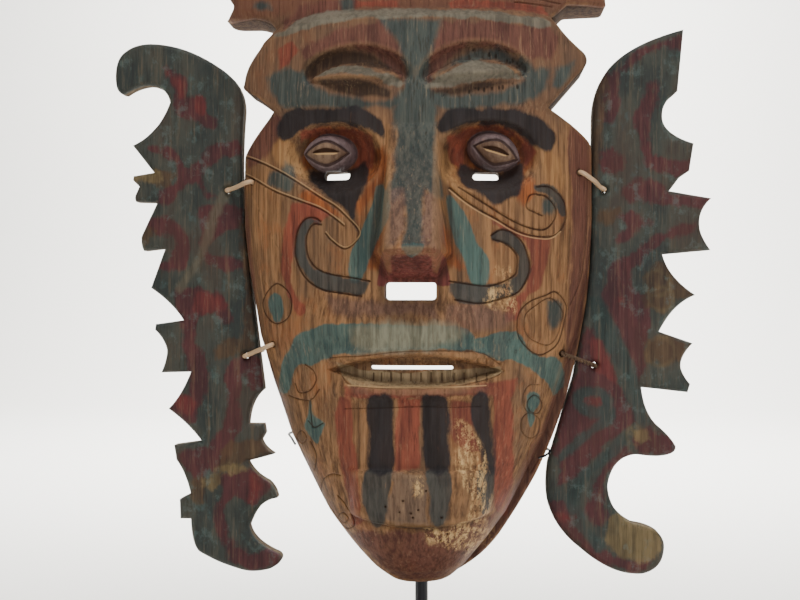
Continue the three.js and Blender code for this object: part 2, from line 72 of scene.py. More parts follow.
CHEEK_EDGE, BAND_EDGE = 12.0, 25.0
BAND_BOTTOM, BAND_TOP = 276, 287
LEAST_DEPTH = CHEEK_EDGE - 2
RIM_WIDTH = 10.0
WALL = 13.0
FACE_HALF_WIDTH = 106.0
HOLLOW_BOTTOM, HOLLOW_TOP = 12.0, 350.0
HOLLOW_NARROWING, NARROW_FROM, NARROW_AT = 25, 240, 278
BEHIND_EYES = 11
EAR_THICKNESS, EAR_CLEARANCE = 11.0, 0.45
LASHING_HOLE = 4.0

CENTRE_DEPTH = np.array([
    (0, 12), (5, 29), (14, 40), (26, 48), (42, 54), (80, 59), (120, 60), (180, 58), (240, 58), (284, 57),
    (333, 53), (390, 50),
], float)
HALF_WIDTH = np.array([
    (0, 12), (6, 22), (14, 30), (30, 43), (45, 54), (91, 77), (150, 96), (190, 103), (217, 106), (262, 106),
    (330, 106), (345, 117), (390, 117),
], float)

NOSE_HALF_WIDTH, NOSE_FLARE, NOSE_SIDE_DROP = 14.0, 9.0, 30
NOSE_RIDGE = np.array([(178, 0), (182, 56), (198, 88), (250, 64), (268, 59), (390, 0)], float)
LEDGE_HEIGHT, LEDGE_RISE, LEDGE_STEP = 333.0, 7.5, 8.0
ARCH_HALF_LENGTH, ARCH_HALF_TALL, ARCH_DEEP = 32, 19, 5
SOCKET_HEIGHT, SOCKET_SHIFT, SOCKET_HALF_LENGTH, SOCKET_HALF_TALL, SOCKET_DEEP = 252, 2, 29, 21, 15
EYES = ((-49.0, 256.5, 0.0), (45.5, 256.5, -17.0))
EYE_HALF_LENGTH, EYE_HALF_TALL, KNOB_SINK, KNOB_RISE = 15.7, 11.0, 12.0, 13.0
LENS_SHIFT, LENS_DROP, LENS_HALF_LENGTH, LENS_HALF_TALL = 1.3, 0.9, 11.7, 5.9
LEAVES = ((-32.5, 298.0, 27.5, 0.0), (34.5, 299.0, 29.0, 4.0))
LEAF_HALF_TALL, LEAF_SINK, LEAF_RISE = 9.5, 3.0, 9.0
MOUTH_X, MOUTH_HEIGHT, MOUTH_HALF_LENGTH, MOUTH_HALF_TALL, MOUTH_DEEP = 1.0, 132.0, 51.0, 10, 6
UPPER_LIP_RISE, LOWER_LIP_RISE, SWELLING_RISE = 5, 3.5, 5
BOSS_X, BOSS_BOTTOM, BOSS_TOP, BOSS_HALF_WIDTH, BOSS_RISE = 3.0, 43.0, 74.5, 34.0, 7.0

# Outlines, going up each side of the face from the chin. Two numbers end a straight stretch, four are a bend

LEFT_SIDE = (
    ((0.5, 0), (-14, 4.5, -27, 16.5), (-40, 28.5, -53, 46.5), (-64.5, 63, -75.5, 91),
     (-88, 117.5, -95.5, 150)),
    ((-95.5, 150), (-102.5, 180.5, -105.5, 217.5), (-108, 248, -104.5, 259), (-94.5, 270, -82.5, 281.5)),
    ((-82.5, 281.5), (-91, 290.5, -101, 296), (-104, 297.5, -102, 301)),
    ((-102, 301), (-101, 309, -92, 318), (-82.5, 331.5)),
    ((-82.5, 331.5), (-85, 337.5, -97, 339.6), (-106, 339.7), (-113, 339.5, -116, 341.8)),
    ((-116, 341.8), (-110, 345, -110, 349), (-117, 358, -116, 364), (-113, 371, -104, 372),
     (-97, 371, -92, 366.5)),
    ((-92, 366.5), (-72, 366, -46, 380), (-24, 382, 0, 390)),
)
RIGHT_SIDE = (
    ((0.5, 0), (13, 2, 23, 7), (39.5, 16, 50, 30.5), (62.6, 49.2, 72.2, 67.3), (81.7, 87.3, 88.5, 108.5),
     (96, 134.5, 99.5, 156.5)),
    ((99.5, 156.5), (104, 177.5, 104.5, 207.5), (104.5, 257), (104.5, 263, 102, 265.5),
     (90.5, 274.5, 76.5, 281.5)),
    ((76.5, 281.5), (99, 307.5)),
    ((99, 307.5), (101.5, 312, 97.5, 315.5), (86.5, 322.5, 78.5, 334.5)),
    ((78.5, 334.5), (88.5, 343.4), (99, 343.9, 108, 344.1), (111.5, 344.2, 112, 345.2)),
    ((112, 345.2), (111.5, 349), (117, 358, 116, 364), (113, 371, 104, 372), (97, 371, 92, 366.5)),
    ((92, 366.5), (72, 366, 46, 380), (24, 382, 0, 390)),
)


# Curves and distances. A distance to a patch is held to FAR, as only the places near its edge matter

FAR = 8.0


def step(low, high, value):
    """Smooth rise from 0 at low to 1 at high: 3t^2 - 2t^3."""
    t = np.clip((value - low) / (high - low), 0, 1)
    return t * t * (3 - 2 * t)


def along(table, value):
    """Straight-line reading of a two-column table."""
    return np.interp(value, table[:, 0], table[:, 1])


def bends(parts, count=24):
    """Points along straight stretches and quadratic bends: (1-t)^2 a + 2t(1-t) b + t^2 c."""
    here = np.array(parts[0], float)
    points = [here[None]]
    t = np.linspace(0, 1, count + 1)[1:, None]
    for part in parts[1:]:
        end = np.array(part[-2:], float)
        middle = np.array(part[:2], float) if len(part) == 4 else (here + end) / 2
        points.append((1 - t) ** 2 * here + 2 * t * (1 - t) * middle + t ** 2 * end)
        here = end
    return np.concatenate(points)


def run_along(route):
    """How far along a route each of its places is."""
    return np.concatenate([[0], np.cumsum(np.linalg.norm(np.diff(route, axis=0), axis=1))])


def evenly(points, count):
    """The same path cut into equal lengths."""
    run = run_along(points)
    at = np.linspace(0, run[-1], count)
    return np.stack([np.interp(at, run, points[:, k]) for k in range(points.shape[1])], axis=1)


def flowing(points, closed=False, fine=8):
    """A smooth path through points: a Catmull-Rom curve."""
    p = np.array(points, float)
    before, after = (p[-1:], p[:2]) if closed else (2 * p[:1] - p[1:2], 2 * p[-1:] - p[-2:-1])
    p = np.concatenate([before, p, after])
    t = np.linspace(0, 1, fine, endpoint=False)[:, None]
    pieces = []
    for a, b, c, d in zip(p[:-3], p[1:-2], p[2:-1], p[3:]):
        square, cube = 2 * a - 5 * b + 4 * c - d, 3 * b - a - 3 * c + d
        pieces.append(0.5 * (2 * b + (c - a) * t + square * t ** 2 + cube * t ** 3))
    pieces.append(p[-2:-1])
    return np.concatenate(pieces)


def gap_to_path(x, h, path):
    """Distance from each place to the nearest point of a path made of straight bits."""
    best = np.full(x.shape, 1e9)
    for (ax, ah), (bx, bh) in zip(path[:-1], path[1:]):
        dx, dh = bx - ax, bh - ah
        t = np.clip(((x - ax) * dx + (h - ah) * dh) / (dx * dx + dh * dh + 1e-9), 0, 1)
        best = np.minimum(best, (x - ax - t * dx) ** 2 + (h - ah - t * dh) ** 2)
    return np.sqrt(best)


def near(x, h, path, reach):
    """True where a place is inside the path's box grown by reach."""
    low, high = path.min(0) - reach, path.max(0) + reach
    return (x > low[0]) & (x < high[0]) & (h > low[1]) & (h < high[1])


def patch_reach(x, h, path, reach=FAR):
    """Signed distance to a closed patch's edge, positive inside and held to +-reach."""
    result = np.full(x.shape, -float(reach))
    close = near(x, h, path, reach)
    px, ph = x[close], h[close]
    inside = np.zeros(px.shape, bool)
    for (ax, ah), (bx, bh) in zip(path, np.roll(path, -1, axis=0)):
        crosses = (ah > ph) != (bh > ph)
        inside ^= crosses & (px < (bx - ax) * (ph - ah) / (bh - ah + 1e-12) + ax)
    gap = np.minimum(gap_to_path(px, ph, np.concatenate([path, path[:1]])), reach)
    result[close] = np.where(inside, gap, -gap)
    return result


def best_reach(x, h, patches, fine=0):
    """The greatest signed distance to any of some closed patches, smooth ones where fine is given."""
    reach = np.full(x.shape, -FAR)
    for patch in patches:
        path = flowing(patch, True, fine) if fine else np.array(patch, float)
        reach = np.maximum(reach, patch_reach(x, h, path))
    return reach


def stroke_reach(x, h, path, width):
    """Signed distance to the edge of a stroke of a width, positive inside it."""
    result = np.full(x.shape, -FAR)
    close = near(x, h, path, FAR + width)
    result[close] = np.maximum(-FAR, width / 2 - gap_to_path(x[close], h[close], path))
    return result


def ripple(x, h, size, seed):
    """Soft random waves between -1 and 1: a sum of sines in scattered directions."""
    draw = np.random.default_rng(seed)
    total = np.zeros(np.shape(x))
    for _ in range(9):
        turn, shift = draw.uniform(0, 2 * math.pi, 2)
        pace = 2 * math.pi / (size * draw.uniform(0.6, 1.8))
        total += np.sin((x * math.cos(turn) + h * math.sin(turn)) * pace + shift)
    return total / 5


# The carving

def arch_drop(x):
    """How much the ledge's line falls towards its ends: a fourth power, more on the left."""
    return np.where(x < 0, 10, 4) * np.minimum(1, np.abs(x) / 86) ** 4


def barrel_depth(x, h):
    """The plain face: an edge depth plus a rounded rise, (1 - reach^2.4)^0.6, to the middle's depth."""
    edge = CHEEK_EDGE + (BAND_EDGE - CHEEK_EDGE) * step(BAND_BOTTOM, BAND_TOP, h)
    reach = np.clip(np.abs(x) / along(HALF_WIDTH, h), 0, 1)
    centre = along(CENTRE_DEPTH, h)
    return np.minimum(edge, centre) + np.maximum(0, centre - edge) * (1 - reach ** 2.4) ** 0.6


def ledge_cut(x, h):
    """The forehead steps back above the ledge's line by a short straight slope."""
    return LEDGE_STEP * np.clip((h + arch_drop(x) - LEDGE_HEIGHT) / LEDGE_RISE, 0, 1)


def turned(x, h, cx, ch, tilt, half_length, half_tall):
    """Place measured along and across a tilted oval, as shares of its half sizes."""
    turn = math.radians(tilt)
    u = ((x - cx) * math.cos(turn) + (h - ch) * math.sin(turn)) / half_length
    v = ((h - ch) * math.cos(turn) - (x - cx) * math.sin(turn)) / half_tall
    return u, v


def arch_cut(x, h):
    """The hollow above each brow leaf: an oval with a steep rim, only above the leaf's line."""
    cut = np.zeros(x.shape)
    for cx, ch, _, tilt in LEAVES:
        u, v = turned(x, h, cx, ch, tilt, ARCH_HALF_LENGTH, ARCH_HALF_TALL)
        cut = np.maximum(cut, ARCH_DEEP * np.clip((1 - u * u - v * v) * 4, 0, 1) * step(-0.25, 0.1, v))
    return cut


def socket_cut(x, h):
    """Eye hollows: an oval bowl, deepest at the end near the nose."""
    cut = np.zeros(x.shape)
    for cx, _, _ in EYES:
        side = math.copysign(1, cx)
        u, v = (x - cx + SOCKET_SHIFT * side) / SOCKET_HALF_LENGTH, (h - SOCKET_HEIGHT) / SOCKET_HALF_TALL
        inside = np.clip(1 - np.abs(u) ** 2.4 - v * v, 0, 1)
        soft = 0.6 + 0.9 * np.maximum(0, -v) + 0.5 * np.maximum(0, u * side)
        cut = np.maximum(cut, SOCKET_DEEP * inside ** soft * (1 + 0.35 * np.clip(-u * side, 0, 1)))
    return cut


def nose_depth(x, h):
    """A flat-fronted wedge with flared sides and a sloping underside."""
    side = (np.abs(x) - NOSE_HALF_WIDTH) / NOSE_FLARE
    return along(NOSE_RIDGE, h) - NOSE_SIDE_DROP * np.clip(side, 0, 1) - np.where(side > 1, 100, 0)


def mouth_rise(x, h):
    """Two lip rolls and a swelling above them, less the open mouth between."""
    u = (x - MOUTH_X) / MOUTH_HALF_LENGTH
    v = h - MOUTH_HEIGHT
    across = np.sqrt(np.clip(1 - u * u, 0, 1))
    opening = MOUTH_HALF_TALL * np.maximum(0, 1 - u * u)
    rolls = UPPER_LIP_RISE * np.exp(-((v - 8) / 4) ** 2) + LOWER_LIP_RISE * np.exp(-((v + 12) / 4) ** 2)
    swelling = SWELLING_RISE * np.exp(-((v - 24) / 13) ** 2) * np.sqrt(np.clip(1 - (x / 75) ** 2, 0, 1))
    return rolls * across + swelling - MOUTH_DEEP * np.clip((opening - np.abs(v + 0.5)) / 2.5, 0, 1)


def boss_rise(x, h):
    """The raised block on the chin, with a ledge under it, which painted shade darkens."""
    out = x - BOSS_X
    bow = 4 * (out / BOSS_HALF_WIDTH) ** 2
    up = np.clip((h - BOSS_BOTTOM - bow + 1) / 2, 0, 1) * (1 - 0.6 * np.clip((h - BOSS_TOP) / 2, 0, 1))
    across = step(BOSS_HALF_WIDTH + 10, BOSS_HALF_WIDTH, np.abs(out))
    return BOSS_RISE * across * up * step(BOSS_TOP + 36, BOSS_TOP, h)


def eye_share(x, h, cx, ch, tilt):
    """1 in the middle of a raised eye and 0 on its edge, round at the nose end and pointed outward."""
    u, v = turned(x, h, cx, ch, tilt, EYE_HALF_LENGTH, EYE_HALF_TALL)
    out = np.clip(u * math.copysign(1, cx), 0, 0.995)
    pointed = np.sqrt(1 - out ** 2) / (1 - out ** 2.2)
    return 1 - u * u - (v * (1 + 0.55 * (pointed - 1))) ** 2


def with_knobs(x, h, depth):
    """Eyes raised over the sockets."""
    for cx, ch, tilt in EYES:
        inside = eye_share(x, h, cx, ch, tilt)
        base = barrel_depth(np.array(cx), np.array(ch)) - KNOB_SINK
        knob = base + KNOB_RISE * np.sqrt(np.clip(inside, 0, 1))
        depth = np.where(inside > 0, np.maximum(depth, knob), depth)
    return depth


def with_leaves(x, h, depth):
    """Pointed pods with a ridge: height falls off straight from the ridge to the pod's edge."""
    for cx, ch, half_length, tilt in LEAVES:
        u, v = turned(x, h, cx, ch, tilt, half_length, LEAF_HALF_TALL)
        inner = barrel_depth(np.array(cx - half_length * 0.8), np.array(ch))
        outer = barrel_depth(np.array(cx + half_length * 0.8), np.array(ch))
        base = barrel_depth(np.array(cx), np.array(ch)) - LEAF_SINK + (outer - inner) / 1.6 * u
        room = np.maximum(0, 1 - u * u)
        pod = base + LEAF_RISE * (room - np.abs(v))
        depth = np.where((np.abs(v) < room) & (np.abs(u) < 1), np.maximum(depth, pod), depth)
    return depth


def front_depth(x, h):
    """The carved front: the plain face less its cuts, plus what is raised on it."""
    depth = barrel_depth(x, h) - ledge_cut(x, h) - arch_cut(x, h) - socket_cut(x, h)
    depth = depth + mouth_rise(x, h) + boss_rise(x, h)
    depth = np.maximum(depth, nose_depth(x, h))
    depth = with_leaves(x, h, with_knobs(x, h, depth))
    return np.maximum(LEAST_DEPTH, depth)


def hollow_half_width(h):
    """The outline's half width less the rim, never past the cheeks', and narrower behind the band."""
    widest = FACE_HALF_WIDTH - RIM_WIDTH - HOLLOW_NARROWING * step(NARROW_FROM, NARROW_AT, h)
    return np.clip(along(HALF_WIDTH, h) - RIM_WIDTH, 1, widest)


def hollow_depth(x, h):
    """The inside, a smooth bowl a wall's thickness behind the plain face, spared behind the eyes."""
    reach = np.clip(np.abs(x) / hollow_half_width(h), 0, 1)
    ends = np.clip(np.minimum((h - HOLLOW_BOTTOM) / 40, (HOLLOW_TOP - h) / 26), 0, 1)
    spared = np.zeros(x.shape)
    for cx, _, _ in EYES:
        swell = np.exp(-((x - cx) / 26) ** 2 - ((h - SOCKET_HEIGHT) / 22) ** 2)
        spared = np.maximum(spared, BEHIND_EYES * swell)
    depth = (along(CENTRE_DEPTH, h) - WALL) * (1 - reach ** 2.4) ** 0.6 * np.sqrt(ends) - spared
    return np.maximum(0, depth)


# Carved lines on the face: (path, closed, width, depth)

RIBBON_LEFT_TOP = ((-103.5, 258), (-90, 252), (-78.5, 246), (-67, 239), (-53.5, 230), (-44.5, 224.5),
                   (-37.5, 218), (-31, 210.5), (-32, 205.5), (-39, 200.5), (-46.5, 205), (-50.5, 209.5))
RIBBON_LEFT_LOW = ((-105.5, 248), (-95, 242.5), (-82, 235), (-66, 228.5), (-53.5, 223.5), (-44.5, 217.5),
                   (-39.5, 213.5))
RIBBON_RIGHT_TOP = ((25.5, 235), (40.5, 225.5), (58.5, 215), (73, 211.5), (80, 217), (81, 224),
                    (75.5, 230.5), (70, 231.5))
RIBBON_RIGHT_LOW = ((20.5, 234.5), (29, 227.5), (37.5, 222), (47, 217), (55.5, 212), (63, 209), (72, 207.5),
                    (79, 208), (84.5, 212), (87.5, 220.5), (85, 230), (77.5, 236), (70, 236))
RIBBON_RIGHT_CURL = ((70, 232), (65.5, 230.5), (64, 224), (68.5, 221.5), (73, 219.5))
SCROLL_LEFT_OUTER = ((-53.5, 216.5), (-57, 218.5), (-61.5, 218.5), (-65.5, 215), (-68, 209.5), (-69, 202),
                     (-68.5, 195), (-65, 187.5), (-61, 182.5), (-55, 178.5), (-49, 176.5), (-39, 175),
                     (-29.5, 173.5))
SCROLL_LEFT_INNER = ((-53, 214.5), (-57, 215), (-60, 212.5), (-62, 207.5), (-62, 201.5), (-60.5, 195.5),
                     (-57, 190.5), (-52, 187.5), (-44.5, 185.5), (-34.5, 184), (-24.5, 182))
SCROLL_RIGHT_OUTER = ((44, 208), (49, 211), (54.5, 210), (60.5, 205.5), (63.5, 200), (65.5, 193),
                      (65.5, 187.5), (63, 181), (58.5, 175.5), (49, 172), (37.5, 169.5), (23.5, 171.5))
SCROLL_RIGHT_INNER = ((45, 205.5), (50.5, 204), (55.5, 200.5), (58.5, 196), (58.5, 189.5), (56.5, 185),
                      (46, 180), (37.5, 179.5), (20.5, 182))
OVAL_LEFT = ((-81, 181), (-73.5, 176), (-71.5, 169), (-73.5, 161.5), (-81.5, 157.5), (-88.5, 161.5),
             (-91.5, 169), (-88, 176))
OVAL_RIGHT_OUTER = ((81.5, 176), (75, 174), (66, 170.5), (60, 164.5), (58.5, 157.5), (59.5, 150.5),
                    (64.5, 144), (71, 140), (77, 141.5), (83, 146.5), (86.5, 157), (88, 168))
OVAL_RIGHT_INNER = ((78, 172.5), (69, 168), (63.5, 163), (62.5, 156), (65, 150.5), (71, 147), (77, 145.5),
                    (82, 149.5), (85, 158.5), (85.5, 165.5))
CURL_LEFT_LOW = ((-63, 134), (-58, 130.5), (-56.5, 125), (-60.5, 119), (-67.5, 117.5), (-70, 122.5))
STAR_LINES = (((-75, 115), (-68, 113.5), (-61.5, 113)),
              ((-54.5, 120), (-58, 115), (-60.5, 112.5), (-60, 103), (-59.5, 97.5)),
              ((-62, 101), (-58, 97.5), (-52.5, 100.5)),
              ((-61, 88.5), (-58, 82.5), (-58, 76.5), (-60, 70.5)))
RING_LEFT_LOW = ((-67, 94.5), (-63.5, 90.5), (-67.5, 86.5), (-71, 90))
CHIN_CURL_UPPER = ((-42.5, 70.5), (-48, 70.5), (-53.5, 66.5), (-56, 60.5), (-56, 54), (-49, 46.5),
                   (-44.5, 40), (-40, 37), (-35, 40.5), (-35.5, 46), (-40, 53), (-44.5, 57.5))
CHIN_CURL_LOWER = ((-42, 47.5), (-38.5, 44.5), (-42, 40.5), (-45.5, 43.5))
RING_RIGHT_OUTER = ((72, 122.5), (66, 122.5), (62.5, 117.5), (62.5, 111), (66, 106.5), (73, 105.5))
RING_RIGHT_LOW = ((68.5, 116.5), (72, 114.5), (74, 109.5), (71, 105.5), (66, 108), (65, 113))
LEAF_RIGHT_LOW = ((76, 92.5), (79.5, 89), (77.5, 81.5), (72.5, 74), (68, 67), (65.5, 76), (66.5, 85.5),
                  (71, 91))
SCRATCHES = (((-98, 235), (-89, 218), (-81, 203.5), (-72, 190)),
             ((-95, 195), (-90, 183.5), (-84.5, 177.5)),
             ((-12, 203.5), (0, 204), (9, 203.5)),
             ((-84, 268), (-70, 266), (-62, 267)))
OVAL_RIGHT_LOW = ((66.5, 106), (72.5, 101.5), (72, 93.5), (67, 91), (61.5, 96), (62, 103.5))
EDGE_LINE_UPPER = ((101.5, 221.5), (100, 201), (97, 183), (90.5, 168.5))
EDGE_LINE_LOWER = ((103, 198.5), (101, 183.5), (97, 171.5))
CROWN_LINES = (((58, 343), (69.5, 342), (79.5, 341)),
               ((60, 348), (72, 345), (84, 343)),
               ((-30, 346), (-50, 352), (-70, 354)))
MOUTH_TOP_LINE = ((-47.5, 138.5), (-38.5, 139.5), (-28.5, 140), (-7, 142.5), (18, 143), (37.5, 142),
                  (49, 135))
MOUTH_LOW_LINE = ((-40.5, 128), (-36, 123.5), (-21.5, 122), (-7, 122), (9.5, 122.5), (26.5, 123.5),
                  (44.5, 127.5), (51, 131))
LIP_EDGE = ((-37, 123.2), (-20, 122.5), (2, 122.3), (21.5, 122.8), (41, 123.4))
# Painted highlights: light lines beside some ribbon grooves and along the lower lip's edge.
HIGHLIGHT_LINES = ((RIBBON_LEFT_TOP, 0.4, 1.0), (RIBBON_LEFT_LOW, 0.4, 1.0), (RIBBON_RIGHT_LOW[:9], -0.3, -1.0),
                (LIP_EDGE, 0, 0))
CHIN_CRACK = ((-39, 109.5), (-18.5, 110.5), (4, 111.5), (21, 111), (37.5, 111.5))

WORMHOLES = ((-5.5, 59, 0.8), (3, 54, 0.7), (-1, 52, 0.8), (0, 49.5, 0.7), (-15.5, 55.5, 0.8),
             (16, 49.5, 0.8), (7.5, 65, 0.6), (19, 38, 0.8), (15, 34, 0.7), (-7.5, 52.5, 0.6), (30, 26, 0.6),
             (38, 30, 0.6))

# Every groove is cut these shares of the width and depth that the list gives it

GROOVE_WIDTH_SHARE, GROOVE_DEPTH_SHARE = 0.74, 0.85
WORMHOLE_DEPTH = 1.4

CARVED_LINES = (
    (RIBBON_LEFT_TOP, False, 2.2, 1.3), (RIBBON_LEFT_LOW, False, 2.2, 1.2),
    (RIBBON_RIGHT_TOP, False, 2.2, 1.3), (RIBBON_RIGHT_LOW, False, 2.2, 1.3),
    (RIBBON_RIGHT_CURL, False, 2.0, 1.1), (SCROLL_LEFT_OUTER, False, 2.2, 1.4),
    (SCROLL_LEFT_INNER, False, 2.2, 1.3), (SCROLL_RIGHT_OUTER, False, 2.2, 1.4),
    (SCROLL_RIGHT_INNER, False, 2.2, 1.3), (OVAL_LEFT, True, 2.0, 1.2), (OVAL_RIGHT_OUTER, True, 2.0, 1.2),
    (OVAL_RIGHT_INNER, True, 1.8, 1.0), (CURL_LEFT_LOW, False, 2.0, 1.1), (RING_LEFT_LOW, True, 1.8, 0.9),
    (CHIN_CURL_UPPER, False, 1.8, 1.0), (CHIN_CURL_LOWER, True, 1.8, 1.0), (RING_RIGHT_LOW, True, 2.0, 1.1),
    (OVAL_RIGHT_LOW, True, 1.8, 1.0), (EDGE_LINE_UPPER, False, 1.8, 1.0),
    (EDGE_LINE_LOWER, False, 1.6, 0.8), (MOUTH_TOP_LINE, False, 1.8, 1.0),
    (MOUTH_LOW_LINE, False, 1.8, 0.9), (CHIN_CRACK, False, 1.4, 0.9), (RING_RIGHT_OUTER, False, 1.8, 0.9),
    (LEAF_RIGHT_LOW, True, 1.6, 0.8), *((line, False, 1.6, 0.8) for line in CROWN_LINES),
    *((line, False, 2.0, 1.1) for line in STAR_LINES), *((line, False, 1.2, 0.5) for line in SCRATCHES),
)


def carved_lines(x, h):
    """How deep the incised lines go: each is a round-bottomed groove, depth (1 - (2 gap / width)^2)."""
    cut = np.zeros(x.shape)
    for points, closed, width, depth in CARVED_LINES:
        path = flowing(points, closed)
        if closed:
            path = np.concatenate([path, path[:1]])
        width, depth = GROOVE_WIDTH_SHARE * width, GROOVE_DEPTH_SHARE * depth
        close = near(x, h, path, width)
        gap = gap_to_path(x[close], h[close], path)
        cut[close] = np.maximum(cut[close], depth * np.clip(1 - (2 * gap / width) ** 2, 0, 1))
    for hole_x, hole_h, radius in WORMHOLES:
        hole = np.clip(1.3 - np.hypot(x - hole_x, h - hole_h) / radius, 0, 1)
        cut = np.maximum(cut, WORMHOLE_DEPTH * hole)
    return cut


# Mesh makers

def to_world(x, h, d):
    """Millimetres on the mask to metres in the frame."""
    return np.stack([x * MM, RIM_Y - d * MM, CHIN_Z + h * MM], axis=-1)


def new_piece(name, points, faces, smooth=True):
    """A piece from its points and from lists of the corners of its faces."""
    mesh = bpy.data.meshes.new(name)
    mesh.from_pydata(points.reshape(-1, 3).tolist(), [], faces)
    mesh.update()
    mesh.polygons.foreach_set("use_smooth", np.full(len(mesh.polygons), smooth))
    piece = bpy.data.objects.new(name, mesh)
    bpy.context.scene.collection.objects.link(piece)
    return piece


def grid_faces(rows, columns, closed_columns=False):
    """Corner numbers of every cell of a grid of points kept row by row."""
    j = np.arange(rows - 1)[:, None]
    i = np.arange(columns if closed_columns else columns - 1)[None]
    a, b = j * columns + i, j * columns + (i + 1) % columns
    c, d = (j + 1) * columns + (i + 1) % columns, (j + 1) * columns + i
    return np.stack(np.broadcast_arrays(a, b, c, d), axis=-1).reshape(-1, 4).tolist()


def merge_doubles(piece, distance=1e-6):
    """Joins corners that are in one place and turns every face outwards."""
    made = bmesh.new()
    made.from_mesh(piece.data)
    bmesh.ops.remove_doubles(made, verts=made.verts, dist=distance)
    bmesh.ops.dissolve_degenerate(made, edges=made.edges, dist=1e-7)
    bmesh.ops.recalc_face_normals(made, faces=made.faces)
    made.to_mesh(piece.data)
    made.free()


# The face's net: its rows' spacing, their steepest bend, and its columns in front, on the walls and behind

ROW_STEP = 1.65
ROW_SLOPE = 1.3
ROWS_SPREAD = 14
FRONT_COLUMNS = 130
WALL_STEPS = 3
BACK_SHARES = np.sin(np.linspace(-0.5, 0.5, 19) * math.pi)
OUTLINE_POINTS = 420
EDGE_WEAR_DEPTH, EDGE_WEAR_WIDTH = 1.6, 2.6
LENS_GROOVE_DEPTH, SLIT_TOP_DEPTH, SLIT_LOW_DEPTH = 1.6, 1.8, 0.4
SLIT_HALF_TALL, SLIT_HALF_LENGTH = 2.4, 8.6


def side_rows():
    """Matching rows of points up both sides of the face's outline, stretch by stretch."""
    left, right = [], []
    for left_parts, right_parts in zip(LEFT_SIDE, RIGHT_SIDE):
        left_path, right_path = bends(left_parts), bends(right_parts)
        longest = max(np.linalg.norm(np.diff(p, axis=0), axis=1).sum() for p in (left_path, right_path))
        count = int(longest / ROW_STEP) + 2
        left.append(evenly(left_path, count)[:-1])
        right.append(evenly(right_path, count)[:-1])
    left.append(left_path[-1:])
    right.append(right_path[-1:])
    return np.concatenate(left), np.concatenate(right)


def keep_order(left, right, x, h):
    """Where the outline turns down again, a row's ends follow it while its middle goes on rising evenly."""
    middle = (left[:, 1] + right[:, 1]) / 2
    settled = middle - np.minimum.accumulate(middle[::-1])[::-1] < 1e-6
    for _ in range(ROWS_SPREAD):
        settled[:-1] &= settled[1:]
    rows = np.arange(len(middle))
    drop = (middle - np.interp(rows, rows[settled], middle[settled]))[:, None]
    inside = np.minimum(x - left[:, :1], right[:, :1] - x)
    return h - np.minimum(drop, ROW_SLOPE * inside)


def lens_reach(x, h, cx, ch, tilt):
    """How far a place is inside an eye's pointed lens, inside the slit across it, and above its middle."""
    u, v = turned(x, h, cx, ch, tilt, 1, 1)
    u, v = u - math.copysign(LENS_SHIFT, cx), v + LENS_DROP
    lens = LENS_HALF_TALL * (1 - (np.abs(u) / LENS_HALF_LENGTH) ** 1.6) - np.abs(v)
    slit = SLIT_HALF_TALL * (1 - (np.abs(u) / SLIT_HALF_LENGTH) ** 1.8) - np.abs(v - 0.4)
    return lens, slit, v - 0.1


def eye_lines(x, h):
    """The eyes' fine carving: a groove round the lens, the lens dished, and a slit undercut along its top."""
    cut = np.zeros(x.shape)
    for cx, ch, tilt in EYES:
        lens, slit, up = lens_reach(x, h, cx, ch, tilt)
        inside = eye_share(x, h, cx, ch, tilt)
        groove = LENS_GROOVE_DEPTH * np.clip(1 - ((lens + 0.9) / 1.1) ** 2, 0, 1)
        cut = np.maximum(cut, np.where(inside > 0.1, groove, 0))
        cut = cut + np.where(up > 0, SLIT_TOP_DEPTH, SLIT_LOW_DEPTH) * np.clip(slit / 0.7, 0, 1)
    return cut


# Rows of upright nicks: their depth, the row's height and half its height, and where each nick is

TOOTH_NICKS = (
    (0.9, 127.6, 2.7, (-22.9, -18.4, -12.8, -7.1, -1.5, 4.2, 9.9, 16.1, 23, 28.7, 35.6, 41.4)),
    (0.7, 137, 1.9, (-24, -18, -13.5, -9, -4.5, 0, 5, 10, 15, 19.5, 24.5, 30, 36, 41)),
)
NICK_HALF_WIDTH = 0.75


def tooth_lines(x, h):
    """Short upright nicks along the lower teeth and the upper lip, round-bottomed across."""
    cut = np.zeros(x.shape)
    for deep, middle, half_tall, places in TOOTH_NICKS:
        for cx in places:
            nick = deep * np.clip(1 - (np.abs(x - cx) / NICK_HALF_WIDTH) ** 2, 0, 1)
            cut = np.maximum(cut, nick * (np.abs(h - middle) < half_tall))
    return cut


def carved_depth(x, h, edge_gap):
    """The whole front: form, worn edge, tool marks and incised lines."""
    depth = front_depth(x, h) - eye_lines(x, h) - tooth_lines(x, h)
    depth = depth - EDGE_WEAR_DEPTH * np.clip(1 - edge_gap / EDGE_WEAR_WIDTH, 0, 1) ** 2
    depth = depth + 0.22 * ripple(x, h * 0.6, 13, 3) + 0.12 * ripple(x, h * 0.8, 6, 4)
    return depth - carved_lines(x, h)


def face_outline():
    """The face's whole outline, evenly cut."""
    left, right = side_rows()
    return evenly(np.concatenate([left, right[::-1]]), OUTLINE_POINTS)


